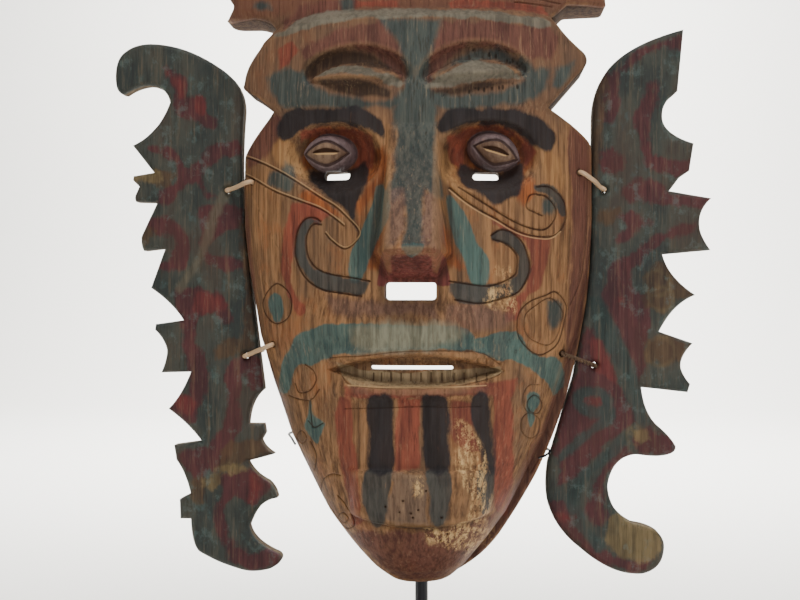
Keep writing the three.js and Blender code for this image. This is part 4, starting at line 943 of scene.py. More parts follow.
EAR_PAINT = {
    "maroon": (
        ((-157.5, 315.5), (-149, 313.5), (-144, 306), (-144, 296), (-133, 296), (-130.5, 287.5), (-124, 280),
         (-131, 278), (-137, 282.5), (-145.5, 284), (-150, 290), (-151.5, 301.5)),
        ((-165.5, 265.5), (-151.5, 264), (-145.5, 259), (-142.5, 253), (-130.5, 262.5), (-124.5, 268),
         (-110.5, 268.5), (-109, 262), (-120.5, 259), (-126.5, 254.5), (-132, 248), (-131, 240.5),
         (-124, 235), (-132, 234), (-135.5, 242), (-141, 243), (-145.5, 238), (-153, 231.5), (-161.5, 231.5),
         (-159, 237), (-151.5, 242), (-148, 248), (-148.5, 256), (-158, 260)),
        ((-170, 220), (-162.5, 225.5), (-150, 221.5), (-143, 213.5), (-141, 202.5), (-142.5, 193.5),
         (-148, 189.5), (-156.5, 189), (-162.5, 193.5), (-154, 197.5), (-149, 205), (-152.5, 211.5),
         (-164.5, 213)),
        ((-135.5, 228), (-128, 230), (-109, 228.5), (-106.5, 219.5), (-118.5, 213.5), (-126.5, 208.5),
         (-129, 201), (-118.5, 198.5), (-107.5, 195), (-107.5, 190.5), (-121.5, 190.5), (-131, 196),
         (-134, 205.5), (-131.5, 216)),
        ((-148, 177.5), (-137, 179), (-128, 177), (-119.5, 171.5), (-113, 160.5), (-118, 157.5), (-126, 163),
         (-134, 161.5), (-136.5, 153), (-136.5, 143.5), (-131, 134.5), (-130.5, 110), (-136.5, 104),
         (-141, 111), (-143.5, 147), (-146.5, 160.5), (-150.5, 171.5)),
        ((-116.5, 134.5), (-95.5, 136), (-95, 119), (-103, 115), (-106.5, 126), (-109, 124.5), (-109, 97.5),
         (-114, 85), (-118.5, 72.5), (-126.5, 66.5), (-129, 79), (-123, 91.5), (-116.5, 103.5), (-118, 122)),
        ((-153, 110.5), (-143, 114.5), (-134, 108.5), (-138.5, 97.5), (-145.5, 98), (-151.5, 103)),
        ((-148, 76.5), (-130.5, 80), (-129, 66.5), (-136.5, 59.5), (-144, 66.5)),
        ((-123, 61.5), (-114, 65.5), (-101.5, 67), (-91.5, 58.5), (-95.5, 48.5), (-103, 43.5), (-109, 49.5),
         (-116.5, 48.5), (-118, 36), (-111.5, 20.5), (-98, 16.5), (-91.5, 19), (-84.5, 16.5), (-86, 8),
         (-100, 6), (-115.5, 12), (-122, 23.5), (-124.5, 42), (-120.5, 52)),
        ((112.5, 304), (123, 313.5), (140, 324), (154.5, 329.5), (160, 332), (157.5, 323.5), (146, 322.5),
         (131.5, 315.5), (124.5, 307.5), (121, 291.5), (117.5, 280.5), (111.5, 281)),
        ((137, 300.5), (143.5, 304), (144, 291.5), (140, 279.5), (140, 267.5), (144.5, 258.5),
         (154.5, 255.5), (164.5, 256.5), (163.5, 247.5), (150.5, 246.5), (140, 252), (135, 261.5),
         (131.5, 273.5), (131.5, 286.5)),
        ((110, 261.5), (121, 260.5), (125, 251), (115, 245.5), (109.5, 251)),
        ((125, 237.5), (134, 243.5), (148.5, 240.5), (150.5, 234.5), (176.5, 233), (171.5, 226),
         (163.5, 227.5), (146, 228), (134, 231), (125.5, 232)),
        ((117.5, 223), (128, 223.5), (141, 218), (134, 213), (128, 207), (120.5, 207.5), (125.5, 216)),
        ((163.5, 218.5), (167.5, 215.5), (163.5, 210.5), (150.5, 207), (141, 201), (134, 194.5),
         (128.5, 186.5), (132, 177.5), (140, 171), (139, 150), (137.5, 137), (133.5, 119), (127.5, 138),
         (119.5, 155), (112.5, 171), (114.5, 183.5), (121, 194.5), (134, 204), (144.5, 210.5)),
        ((101, 160), (107, 149), (114, 134), (121.5, 120), (128, 107), (131, 98), (118, 90), (104, 77),
         (92, 67), (84, 72), (84, 90), (90, 110), (96, 128), (99, 145)),
        ((126, 104), (128, 97), (117.5, 88), (106, 74.5), (94, 63), (84.5, 60), (87, 70), (102, 82),
         (113, 93)),
        ((134, 94), (146, 93.5), (156, 83), (146, 78), (134, 79.5), (127.5, 87.5)),
        ((124, 84), (131, 79), (118, 70), (112.5, 60), (115.5, 50), (113.5, 38), (107, 36), (103, 48),
         (107, 62), (116, 76)),
        ((79, 50.5), (92.5, 48), (94.5, 39), (110, 22), (134, 15.5), (143.5, 18), (134, 7.5), (110, 13),
         (94.5, 26), (81, 41.5)),
    ),
    "band": (
        ((103, 171.5), (111, 171.5), (120, 154.5), (128, 137.5), (135.8, 117), (138, 99), (131.5, 99),
         (129, 115), (120, 132), (112, 145.5), (106.4, 160)),
        ((94.5, 111), (97, 117.5), (104, 120), (112, 118.5), (116.5, 112), (115, 104), (108, 100), (99, 103)),
        ((118, 106), (108, 97.5), (97, 88), (86, 79), (84.5, 71), (95, 80), (106, 90), (117, 98)),
        ((125, 92), (127, 87), (115, 74), (101, 60), (97.5, 48), (103, 34), (113, 24), (108, 20), (98, 32),
         (90, 46), (92, 58), (104, 72), (114, 82)),
    ),
    "red": (
        ((101.5, 110), (104, 113.5), (109, 112.5), (109.5, 108), (105, 106.5)),
        ((-136.5, 174.5), (-126.5, 174.5), (-117, 166.5), (-126.5, 164), (-136, 164.5)),
        ((-156, 314.5), (-147.5, 308), (-145, 297.5), (-151.5, 305)),
        ((-137, 296), (-133, 296.5), (-131, 288.5), (-136, 288)),
        ((119.5, 174), (124.5, 174), (125, 169.5), (119.5, 169.5)),
        ((85.5, 42.5), (92.5, 42.5), (92.5, 37.5), (87, 37.5)),
        ((103.5, 148.5), (112, 144), (117.5, 130.5), (121, 121), (111.5, 127), (105.5, 135.5)),
        ((-151.5, 109.5), (-143, 113.5), (-135.5, 108), (-144, 101)),
        ((-103, 64.5), (-95.5, 58.5), (-99, 48.5), (-105.5, 45.5), (-103, 54.5)),
    ),
    "brown": (
        ((-109, 217.5), (-105, 217.5), (-103, 177.5), (-100.5, 144), (-105.5, 139.5), (-120.5, 133.5),
         (-125.5, 140.5), (-119, 148), (-109, 149.5), (-106.5, 171.5)),
        ((108.5, 301.5), (112.5, 306), (115, 301.5), (111.5, 286), (110, 243.5), (106, 243.5), (104, 280)),
        ((-161.5, 252), (-155.5, 253), (-149, 248), (-156.5, 243), (-163, 244.5)),
        ((-175, 213.5), (-165.5, 218), (-163, 211), (-170.5, 205)),
        ((146, 194), (155, 188), (163.5, 177.5), (166, 174), (155, 171.5), (146, 164.5), (137.5, 169),
         (135, 183.5)),
        ((138.5, 148.5), (163.5, 145), (162.5, 138), (153, 134.5), (136.5, 134.5)),
        ((-120.5, 78), (-95.5, 88), (-90.5, 78), (-105.5, 72), (-120.5, 66.5)),
        ((-140.5, 60.5), (-131.5, 61.5), (-133, 48), (-139, 50.5)),
        ((109, 224.5), (121, 228), (123, 223), (113.5, 216)),
    ),
    "scuff": (
        ((117.5, 40), (134, 40), (144.5, 33.5), (147.5, 24.5), (143, 15.5), (134, 13.5), (122, 16),
         (115.5, 24)),
        ((-131.5, 61.5), (-121, 62.5), (-123, 53.5), (-130.5, 55)),
        ((-177, 249.5), (-160.5, 252), (-159, 247), (-175.5, 244)),
        ((-120.5, 69), (-106.5, 69.5), (-106.5, 66), (-120.5, 66)),
        ((128, 94), (137, 93.5), (140, 87.5), (130.5, 85)),
    ),
}
STREAK = ((-116.5, 241.5), (-124.5, 225), (-130.5, 206.5), (-138.5, 191), (-146.5, 179))
EAR_RINGS = ((144, 181.5, 7.5), (147, 172, 7), (146, 140.5, 8.5), (131.5, 90, 5.5))

# The face's slots: the eyes', the nose's and the mouth's, each as middle, width, height and corner

FACE_SLOTS = ((-45, 243.5, 15, 5, 2), (41, 242.5, 15, 5, 2), (-1.5, 176.5, 29, 10, 2),
              (MOUTH_X - 2, 133, 47, 2.6, 1.2))

# Lashings: name, hole in the ear, hole in the face

LASHINGS = (
    ("tie_upper_left", (-117, 239), (-98, 242)), ("tie_lower_left", (-106, 137), (-85, 145)),
    ("tie_upper_right", (112.5, 238), (96, 246)), ("tie_lower_right", (107, 132), (86, 140)),
)


def tidy_loop(path, step_length):
    """A closed outline cut evenly between its corners, so that the corners stay sharp."""
    ring = path if np.allclose(path[0], path[-1]) else np.concatenate([path, path[:1]])
    keep = np.concatenate([[True], np.linalg.norm(np.diff(ring, axis=0), axis=1) > 1e-6])
    ring = ring[keep]
    bearing = np.diff(ring, axis=0)
    bearing /= np.linalg.norm(bearing, axis=1, keepdims=True)
    turn = (bearing * np.roll(bearing, 1, axis=0)).sum(1)
    corners = [k for k in range(len(bearing)) if turn[k] < math.cos(math.radians(22))] or [0]
    ring = np.concatenate([ring[corners[0]:-1], ring[:corners[0] + 1]])
    stops = [k - corners[0] for k in corners] + [len(ring) - 1]
    parts = []
    for a, b in zip(stops[:-1], stops[1:]):
        length = np.linalg.norm(np.diff(ring[a:b + 1], axis=0), axis=1).sum()
        parts.append(evenly(ring[a:b + 1], max(2, round(length / step_length) + 1))[:-1])
    return np.concatenate(parts)


# The boards' net: its spacing, how clear of an edge its inner points stay, and the steps of the walls

NET_STEP = 1.35
EDGE_STEP = 1.5
CLEAR_OF_EDGE, CLEAR_OF_HOLE = 0.75, 0.6
BOARD_WEAR_DEPTH, BOARD_WEAR_WIDTH = 2.0, 2.4
BOARD_MARGIN = 0.25
WALL_SHARES = (0.14, 0.4, 0.66, 0.88)


def make_board(name, outline, holes):
    """A flat board as one closed skin: a net of triangles in front, the same behind, and walls between.

    The front edge is rounded: BOARD_WEAR_DEPTH (1 - gap / BOARD_WEAR_WIDTH)^2 comes off near the outline.
    """
    loop = tidy_loop(bends(outline, 10), EDGE_STEP)
    face_loop = np.concatenate([np.concatenate([bends(p)[:-1] for p in LEFT_SIDE]),
                                np.concatenate([bends(p)[1:][::-1] for p in reversed(RIGHT_SIDE)])])
    low, high = loop.min(0) - 1, loop.max(0) + 1
    gx, gh = np.meshgrid(*(np.arange(a, b, NET_STEP) for a, b in zip(low, high)), indexing="ij")
    gx, gh = gx.ravel(), gh.ravel() + 0.67 * (np.arange(gx.shape[0])[:, None] % 2 + 0 * gx).ravel()
    in_ear, out_face = patch_reach(gx, gh, loop, 4), -patch_reach(gx, gh, face_loop, 4) - EAR_CLEARANCE
    in_hole = np.min([np.hypot(gx - a, gh - b) for a, b in holes], axis=0) - LASHING_HOLE / 2
    keep = (np.minimum(in_ear, out_face) > CLEAR_OF_EDGE) & (in_hole > CLEAR_OF_HOLE)
    grown = grow(face_loop, EAR_CLEARANCE)
    rings = [loop, grown] + [circle(a, b, LASHING_HOLE / 2, 16) for a, b in holes]
    points, edges = [], []
    for ring in rings:
        base, count = len(points), len(ring)
        points += [Vector(p) for p in ring.tolist()]
        edges += [(base + k, base + (k + 1) % count) for k in range(count)]
    points += [Vector(p) for p in zip(gx[keep].tolist(), gh[keep].tolist())]
    flat, _, tris = delaunay_2d_cdt(points, edges, [], 0, 1e-4)[:3]
    flat, tris = np.array([tuple(p) for p in flat]), np.array([tuple(t) for t in tris])
    mx, mh = flat[tris].mean(1).T
    inside = (patch_reach(mx, mh, loop, 4) > 0) & (patch_reach(mx, mh, grown, 4) < 0)
    inside &= np.min([np.hypot(mx - a, mh - b) for a, b in holes], axis=0) > LASHING_HOLE / 2
    tris = tris[inside]
    used, tris = np.unique(tris, return_inverse=True)
    flat, tris = flat[used], tris.reshape(-1, 3)
    cross = np.cross(flat[tris[:, 1]] - flat[tris[:, 0]], flat[tris[:, 2]] - flat[tris[:, 0]])
    tris[cross < 0] = tris[cross < 0][:, ::-1]
    sides = np.concatenate([tris[:, [0, 1]], tris[:, [1, 2]], tris[:, [2, 0]]])
    seen = {tuple(s) for s in sides.tolist()}
    border = np.array([s for s in seen if (s[1], s[0]) not in seen])
    x, h = flat[:, 0], flat[:, 1]
    gap = np.full(len(flat), 9.0)
    for a, b in border:
        d = flat[b] - flat[a]
        t = np.clip(((flat - flat[a]) @ d) / (d @ d), 0, 1)
        gap = np.minimum(gap, np.linalg.norm(flat - flat[a] - t[:, None] * d, axis=1))
    wear = np.clip(1 - gap / BOARD_WEAR_WIDTH, 0, 1) ** 2
    front = EAR_THICKNESS - BOARD_MARGIN - BOARD_WEAR_DEPTH * wear + 0.22 * ripple(x, h * 0.5, 12, 7)
    back = BOARD_MARGIN + 0.8 * wear + 0.15 * ripple(x, h * 0.6, 11, 8)
    count = len(flat)
    layers = [to_world(x, h, back + (front - back) * t) for t in (0, 1)]
    ends = np.unique(border)
    slot = np.full(count, -1)
    slot[ends] = np.arange(len(ends))
    for k, t in enumerate(WALL_SHARES):
        bulge = 0.25 * ripple(x[ends] * 3 + k * 9, h[ends] * 3, 9, 9)
        layers.append(to_world(x[ends], h[ends], (back + (front - back) * t)[ends] + bulge))

    def level(v, k):
        """The number of a border corner on step k of the wall, from the back to the front."""
        if k == 0:
            return v
        if k == len(WALL_SHARES) + 1:
            return v + count
        return 2 * count + (k - 1) * len(ends) + int(slot[v])

    faces = (tris + count).tolist() + tris[:, ::-1].tolist()
    for a, b in border.tolist():
        for k in range(len(WALL_SHARES) + 1):
            faces.append([level(a, k), level(b, k), level(b, k + 1), level(a, k + 1)])
    piece = new_piece(name, np.concatenate(layers), faces)
    merge_doubles(piece, 1e-7)
    return piece


def circle(x, h, radius, count):
    """Points round a circle."""
    a = np.linspace(0, 2 * math.pi, count, endpoint=False)
    return np.stack([x + radius * np.cos(a), h + radius * np.sin(a)], axis=1)


def grow(loop, distance):
    """A closed outline moved outwards along its own normals."""
    area = 0.5 * np.sum(loop[:, 0] * np.roll(loop[:, 1], -1) - np.roll(loop[:, 0], -1) * loop[:, 1])
    along_it = np.roll(loop, -1, axis=0) - np.roll(loop, 1, axis=0)
    along_it /= np.maximum(np.linalg.norm(along_it, axis=1, keepdims=True), 1e-9)
    normal = np.stack([along_it[:, 1], -along_it[:, 0]], axis=1) * np.sign(area)
    return loop + normal * distance


def smooth_route(points, count):
    """An evenly cut smooth path through places given in metres."""
    return evenly(flowing(points, fine=12), count)


def frames_along(route):
    """A direction and two sideways directions at each place of a route, turning as little as possible."""
    ahead = np.gradient(route, axis=0)
    ahead /= np.linalg.norm(ahead, axis=1, keepdims=True)
    side = np.zeros_like(route)
    guess = np.array([0.0, 0.0, 1.0]) if abs(ahead[0, 2]) < 0.9 else np.array([1.0, 0.0, 0.0])
    for k in range(len(route)):
        guess = guess - ahead[k] * (guess @ ahead[k])
        guess /= np.linalg.norm(guess)
        side[k] = guess
    return ahead, side, np.cross(ahead, side)


# A tube's closed ends: each ring's share of the radius, and how far it stands out

TUBE_ENDS = ((0.0, -0.9), (0.55, -0.75), (0.88, -0.35))


def make_tube(name, route, radius, sides, uneven):
    """A rod along a route: rings round each of its places, with soft random bumps, and closed by domes."""
    ahead, side, other = frames_along(route)
    a = np.linspace(0, 2 * math.pi, sides, endpoint=False)
    run = run_along(route)
    last = len(route) - 1
    rings = [(route[0] + ahead[0] * radius * back * 0.6, radius * share, 0) for share, back in TUBE_ENDS]
    rings += [(route[k], radius, k) for k in range(len(route))]
    rings += [(route[-1] - ahead[-1] * radius * back * 0.6, radius * share, last)
              for share, back in TUBE_ENDS[::-1]]
    points = []
    for middle, size, k in rings:
        bump = 1 + uneven * ripple(a * 3 / math.pi * 10, np.full(sides, run[k] / MM), 8, 1)
        out = np.cos(a)[:, None] * side[k] + np.sin(a)[:, None] * other[k]
        points.append(middle + (size * bump)[:, None] * out)
    faces = [face[::-1] for face in grid_faces(len(rings), sides, closed_columns=True)]
    piece = new_piece(name, np.array(points), faces)
    merge_doubles(piece, 1e-8)
    return piece


RATTAN_RADIUS, CORD_RADIUS = 1.4, 1.5
CORD_TURN = 0.007


def make_cord(name, route, radius):
    """Two strands twisted round each other in helices half a turn apart, as one piece."""
    _, side, other = frames_along(route)
    strands = []
    for start in (0, math.pi):
        turn = (2 * math.pi * run_along(route) / CORD_TURN + start)[:, None]
        offset = (np.cos(turn) * side + np.sin(turn) * other) * radius * 0.51
        strands.append(make_tube(name, route + offset, radius * 0.48, 9, 0.05))
    first, second = strands
    made = bmesh.new()
    made.from_mesh(first.data)
    made.from_mesh(second.data)
    made.to_mesh(first.data)
    made.free()
    bpy.data.objects.remove(second)
    return first


def tie_route(ear, face, radius):
    """Up one hole, over the front, down the other and back to itself behind, in millimetres (x, d, h)."""
    (ear_x, ear_h), (face_x, face_h) = ear, face
    gap = radius + 0.4
    front = EAR_THICKNESS + gap + 0.4
    behind = -gap - 0.6
    edge = (abs(ear_x) - along(HALF_WIDTH, ear_h)) / (abs(ear_x) - abs(face_x))

    def at(t, d):
        return (ear_x + (face_x - ear_x) * t, d, ear_h + (face_h - ear_h) * t)

    def depth(t):
        x, _, h = at(t, 0)
        return float(front_depth(np.array([x]), np.array([h]))[0])

    def over(t):
        ahead = min(1, t + 0.14)
        return at(t, max(front, depth(ahead) + gap) + 1.2)

    face_front = depth(1) + gap
    up = [at(0.42, behind), at(0.2, behind), at(0, behind + 2), at(0, front / 2), at(0, front - 1)]
    across = [at(0.16, front), *(over(edge + s * (1 - edge)) for s in (0, 0.22, 0.48, 0.76))]
    down = [at(1, face_front - 1), at(1, face_front / 2), at(1, behind + 2)]
    return up + across + down + [at(0.8, behind), at(0.58, behind)]


def route_world(places):
    """A route of (x, d, h) places in millimetres, in the frame's metres."""
    p = np.array(places, float)
    return to_world(p[:, 0], p[:, 2], p[:, 1])


# Materials

def new_material(name):
    """A material whose nodes are cleared, and its tree."""
    material = bpy.data.materials.new(name)
    material.use_nodes = True
    material.node_tree.nodes.clear()
    return material, material.node_tree


class Net:
    """Short names for making shader nodes; a plain number goes straight on a socket."""

    def __init__(self, tree):
        self.tree = tree

    def node(self, kind, inputs=None, **settings):
        made = self.tree.nodes.new(kind)
        for key, value in settings.items():
            setattr(made, key, value)
        for key, value in (inputs or {}).items():
            self.put(made.inputs[key], value)
        return made

    def put(self, socket, value):
        if isinstance(value, bpy.types.NodeSocket):
            self.tree.links.new(value, socket)
        elif isinstance(value, tuple) and len(value) == 3 and len(socket.default_value) == 4:
            socket.default_value = (*value, 1.0)
        else:
            socket.default_value = value

    def math(self, operation, a, b):
        return self.node("ShaderNodeMath", {0: a, 1: b}, operation=operation).outputs[0]

    def attribute(self, name):
        return self.node("ShaderNodeAttribute", attribute_name=name).outputs["Fac"]

    def object_place(self, scale=(1, 1, 1), shift=(0, 0, 0)):
        coords = self.node("ShaderNodeTexCoord").outputs["Object"]
        inputs = {"Vector": coords, "Scale": scale, "Location": shift}
        return self.node("ShaderNodeMapping", inputs).outputs[0]

    def noise(self, scale, detail=4.0, stretch=(1, 1, 1), rough=0.55, shift=(0, 0, 0)):
        place = self.object_place(stretch, shift)
        return self.node("ShaderNodeTexNoise", {"Vector": place, "Scale": scale, "Detail": detail,
                                                "Roughness": rough}).outputs[0]

    def ramp(self, value, low, high, to_low=0.0, to_high=1.0):
        inputs = {"Value": value, "From Min": low, "From Max": high, "To Min": to_low, "To Max": to_high}
        return self.node("ShaderNodeMapRange", inputs, interpolation_type="SMOOTHSTEP").outputs[0]

    def blend(self, a, share, b):
        """A share of a, and the rest of b."""
        return self.math("ADD", self.math("MULTIPLY", a, share), self.math("MULTIPLY", b, 1 - share))

    def mix(self, share, a, b):
        made = self.node("ShaderNodeMix", {0: share}, data_type="RGBA")
        self.put(made.inputs[6], a)
        self.put(made.inputs[7], b)
        return made.outputs[2]

    def finish(self, colour, roughness, bump=None, strength=0.4, distance=0.0006, metallic=0.0,
               specular=0.35):
        inputs = {"Base Color": colour, "Roughness": roughness, "Metallic": metallic,
                  "Specular IOR Level": specular}
        shader = self.node("ShaderNodeBsdfPrincipled", inputs)
        if bump is not None:
            made = self.node("ShaderNodeBump", {"Height": bump, "Strength": strength, "Distance": distance})
            self.put(shader.inputs["Normal"], made.outputs[0])
        out = self.node("ShaderNodeOutputMaterial")
        self.tree.links.new(shader.outputs[0], out.inputs["Surface"])


def srgb(r, g, b):
    """A screen colour of 0 to 255 as the shader's linear one."""
    return tuple(((c / 255 + 0.055) / 1.055) ** 2.4 if c > 10 else c / 255 / 12.92 for c in (r, g, b))


def set_values(piece, name, values):
    """Keeps one number at each corner, which a material reads by its name."""
    made = piece.data.attributes.new(name, "FLOAT", "POINT")
    made.data.foreach_set("value", np.asarray(values, np.float32))


def corners(piece):
    """The places of a piece's corners, in metres."""
    places = np.empty(len(piece.data.vertices) * 3, np.float32)
    piece.data.vertices.foreach_get("co", places)
    return places.reshape(-1, 3)


def corners_on_mask(piece):
    """The same as x, d and h, in millimetres."""
    places = corners(piece).astype(float) / MM
    return places[:, 0], RIM_Y / MM - places[:, 1], places[:, 2] - CHIN_Z / MM


SMOOTH_PATCHES = ("bright", "black", "grey", "pale")
BEHIND_FROM = 2.5


def paint_face(piece):
    """Gives every corner its distances to the paint patches, and how worn, cut and hollow its place is."""
    x, d, h = corners_on_mask(piece)
    form = front_depth(x, h)
    behind = np.maximum(0, form - BEHIND_FROM - d)
    set_values(piece, "behind", behind)
    for name, patches in PAINT.items():
        reach = best_reach(x, h, patches, 4 if name in SMOOTH_PATCHES else 0)
        set_values(piece, name, np.maximum(-FAR, reach - 1.5 * behind))
    set_values(piece, "pecked", best_reach(x, h, PECKED))
    groove = carved_lines(x, h) + eye_lines(x, h) + tooth_lines(x, h)
    set_values(piece, "groove", np.where(behind > 0.5, 0, groove))
    turns = np.linspace(0, 2 * math.pi, 9)[:-1]
    around = [front_depth(x + 5 * math.cos(a), h + 5 * math.sin(a)) for a in turns]
    set_values(piece, "hollow", np.where(behind > 0.5, 0, np.mean(around, axis=0) - form))
    # Painted highlights beside some ribbon grooves and along the lip's edge.
    shine = np.full(x.shape, -FAR)
    for line, dx, dh in HIGHLIGHT_LINES:
        path = flowing(line) + (dx, dh)
        close = near(x, h, path, 2)
        shine[close] = np.maximum(shine[close], 0.6 - gap_to_path(x[close], h[close], path))
    set_values(piece, "shine", shine - behind)
    set_values(piece, "edge", gap_to_path(x, h, face_outline()))
    knob = np.max([eye_share(x, h, *eye) for eye in EYES], axis=0)
    lenses, slits, ups = (np.array(part) for part in zip(*(lens_reach(x, h, *eye) for eye in EYES)))
    own = np.argmax(lenses, axis=0), np.arange(len(x))
    lens, slit, up = lenses[own], slits[own], ups[own]
    set_values(piece, "knob", np.clip(knob * 6 + 0.4, -FAR, FAR) - behind)
    set_values(piece, "lens", np.clip(lens + 0.2, -FAR, FAR) - behind)
    # Where painted shade darkens the undercut top of each eye's slit.
    set_values(piece, "slit", np.clip(np.minimum(slit, up), -FAR, FAR) - behind)
    # Where a painted highlight runs along the lower half of each eye's slit.
    set_values(piece, "glint", np.clip(0.75 - np.abs(up + 0.75), -FAR, np.maximum(slit + 0.3, -FAR)) - behind)


# Layers over the bare wood: name, light and dark colour, how much covers, how ragged and how soft the border
# is. The wood's streaks show through LAYERS and lie under TOP_LAYERS

LAYERS = (
    ("tan", (186, 142, 92), (140, 98, 62), 0.7, 2.6, 1.8),
    ("orange", (172, 94, 48), (108, 56, 34), 0.8, 2.4, 1.8),
    ("maroon", (112, 70, 61), (80, 49, 45), 0.82, 2.6, 1.5),
    ("red", (144, 72, 56), (104, 54, 46), 0.86, 1.8, 1.0),
    # Painted shade, laid on like a paint layer.
    ("painted_shade", (64, 48, 37), (45, 36, 30), 0.85, 1.2, 1.4),
    ("teal", (72, 84, 80), (48, 61, 61), 0.88, 2.4, 2.0),
    ("clay", (124, 98, 88), (92, 71, 64), 0.7, 1.6, 1.6),
    ("wine", (128, 64, 62), (78, 38, 38), 0.92, 1.0, 0.5),
    ("bright", (78, 110, 104), (54, 79, 78), 0.88, 1.5, 0.7),
    # Mauve paint, and painted shade under the nose slot.
    ("mauve_and_shade", (120, 90, 80), (88, 66, 58), 0.65, 2.2, 2.6),
    ("olive", (176, 154, 118), (128, 108, 80), 0.85, 1.0, 0.5),
    ("taupe", (128, 106, 88), (96, 78, 66), 0.8, 1.6, 0.8),
)
TOP_LAYERS = (
    ("grey", (72, 75, 72), (50, 52, 51), 0.88, 1.6, 0.9),
    ("black", (26, 25, 28), (50, 46, 47), 0.95, 2.0, 1.3),
    ("ledge", (122, 117, 102), (88, 86, 75), 0.85, 1.8, 0.9),
    ("lip", (152, 147, 124), (108, 102, 83), 0.82, 3.4, 3.8),
    ("knob", (124, 106, 106), (90, 76, 78), 0.95, 0.3, 0.4),
    ("lens", (134, 108, 84), (98, 74, 58), 0.9, 0.2, 0.3),
    ("pale", (226, 190, 132), (158, 116, 78), 0.95, 3.6, 1.8),
)


def worn_tone(net, grain, broad, share, light, dark):
    """A paint's colour, between its dark and its light one as the grain and the broad noise go."""
    return net.mix(net.ramp(net.blend(grain, share, broad), 0.4, 0.62), srgb(*dark), srgb(*light))


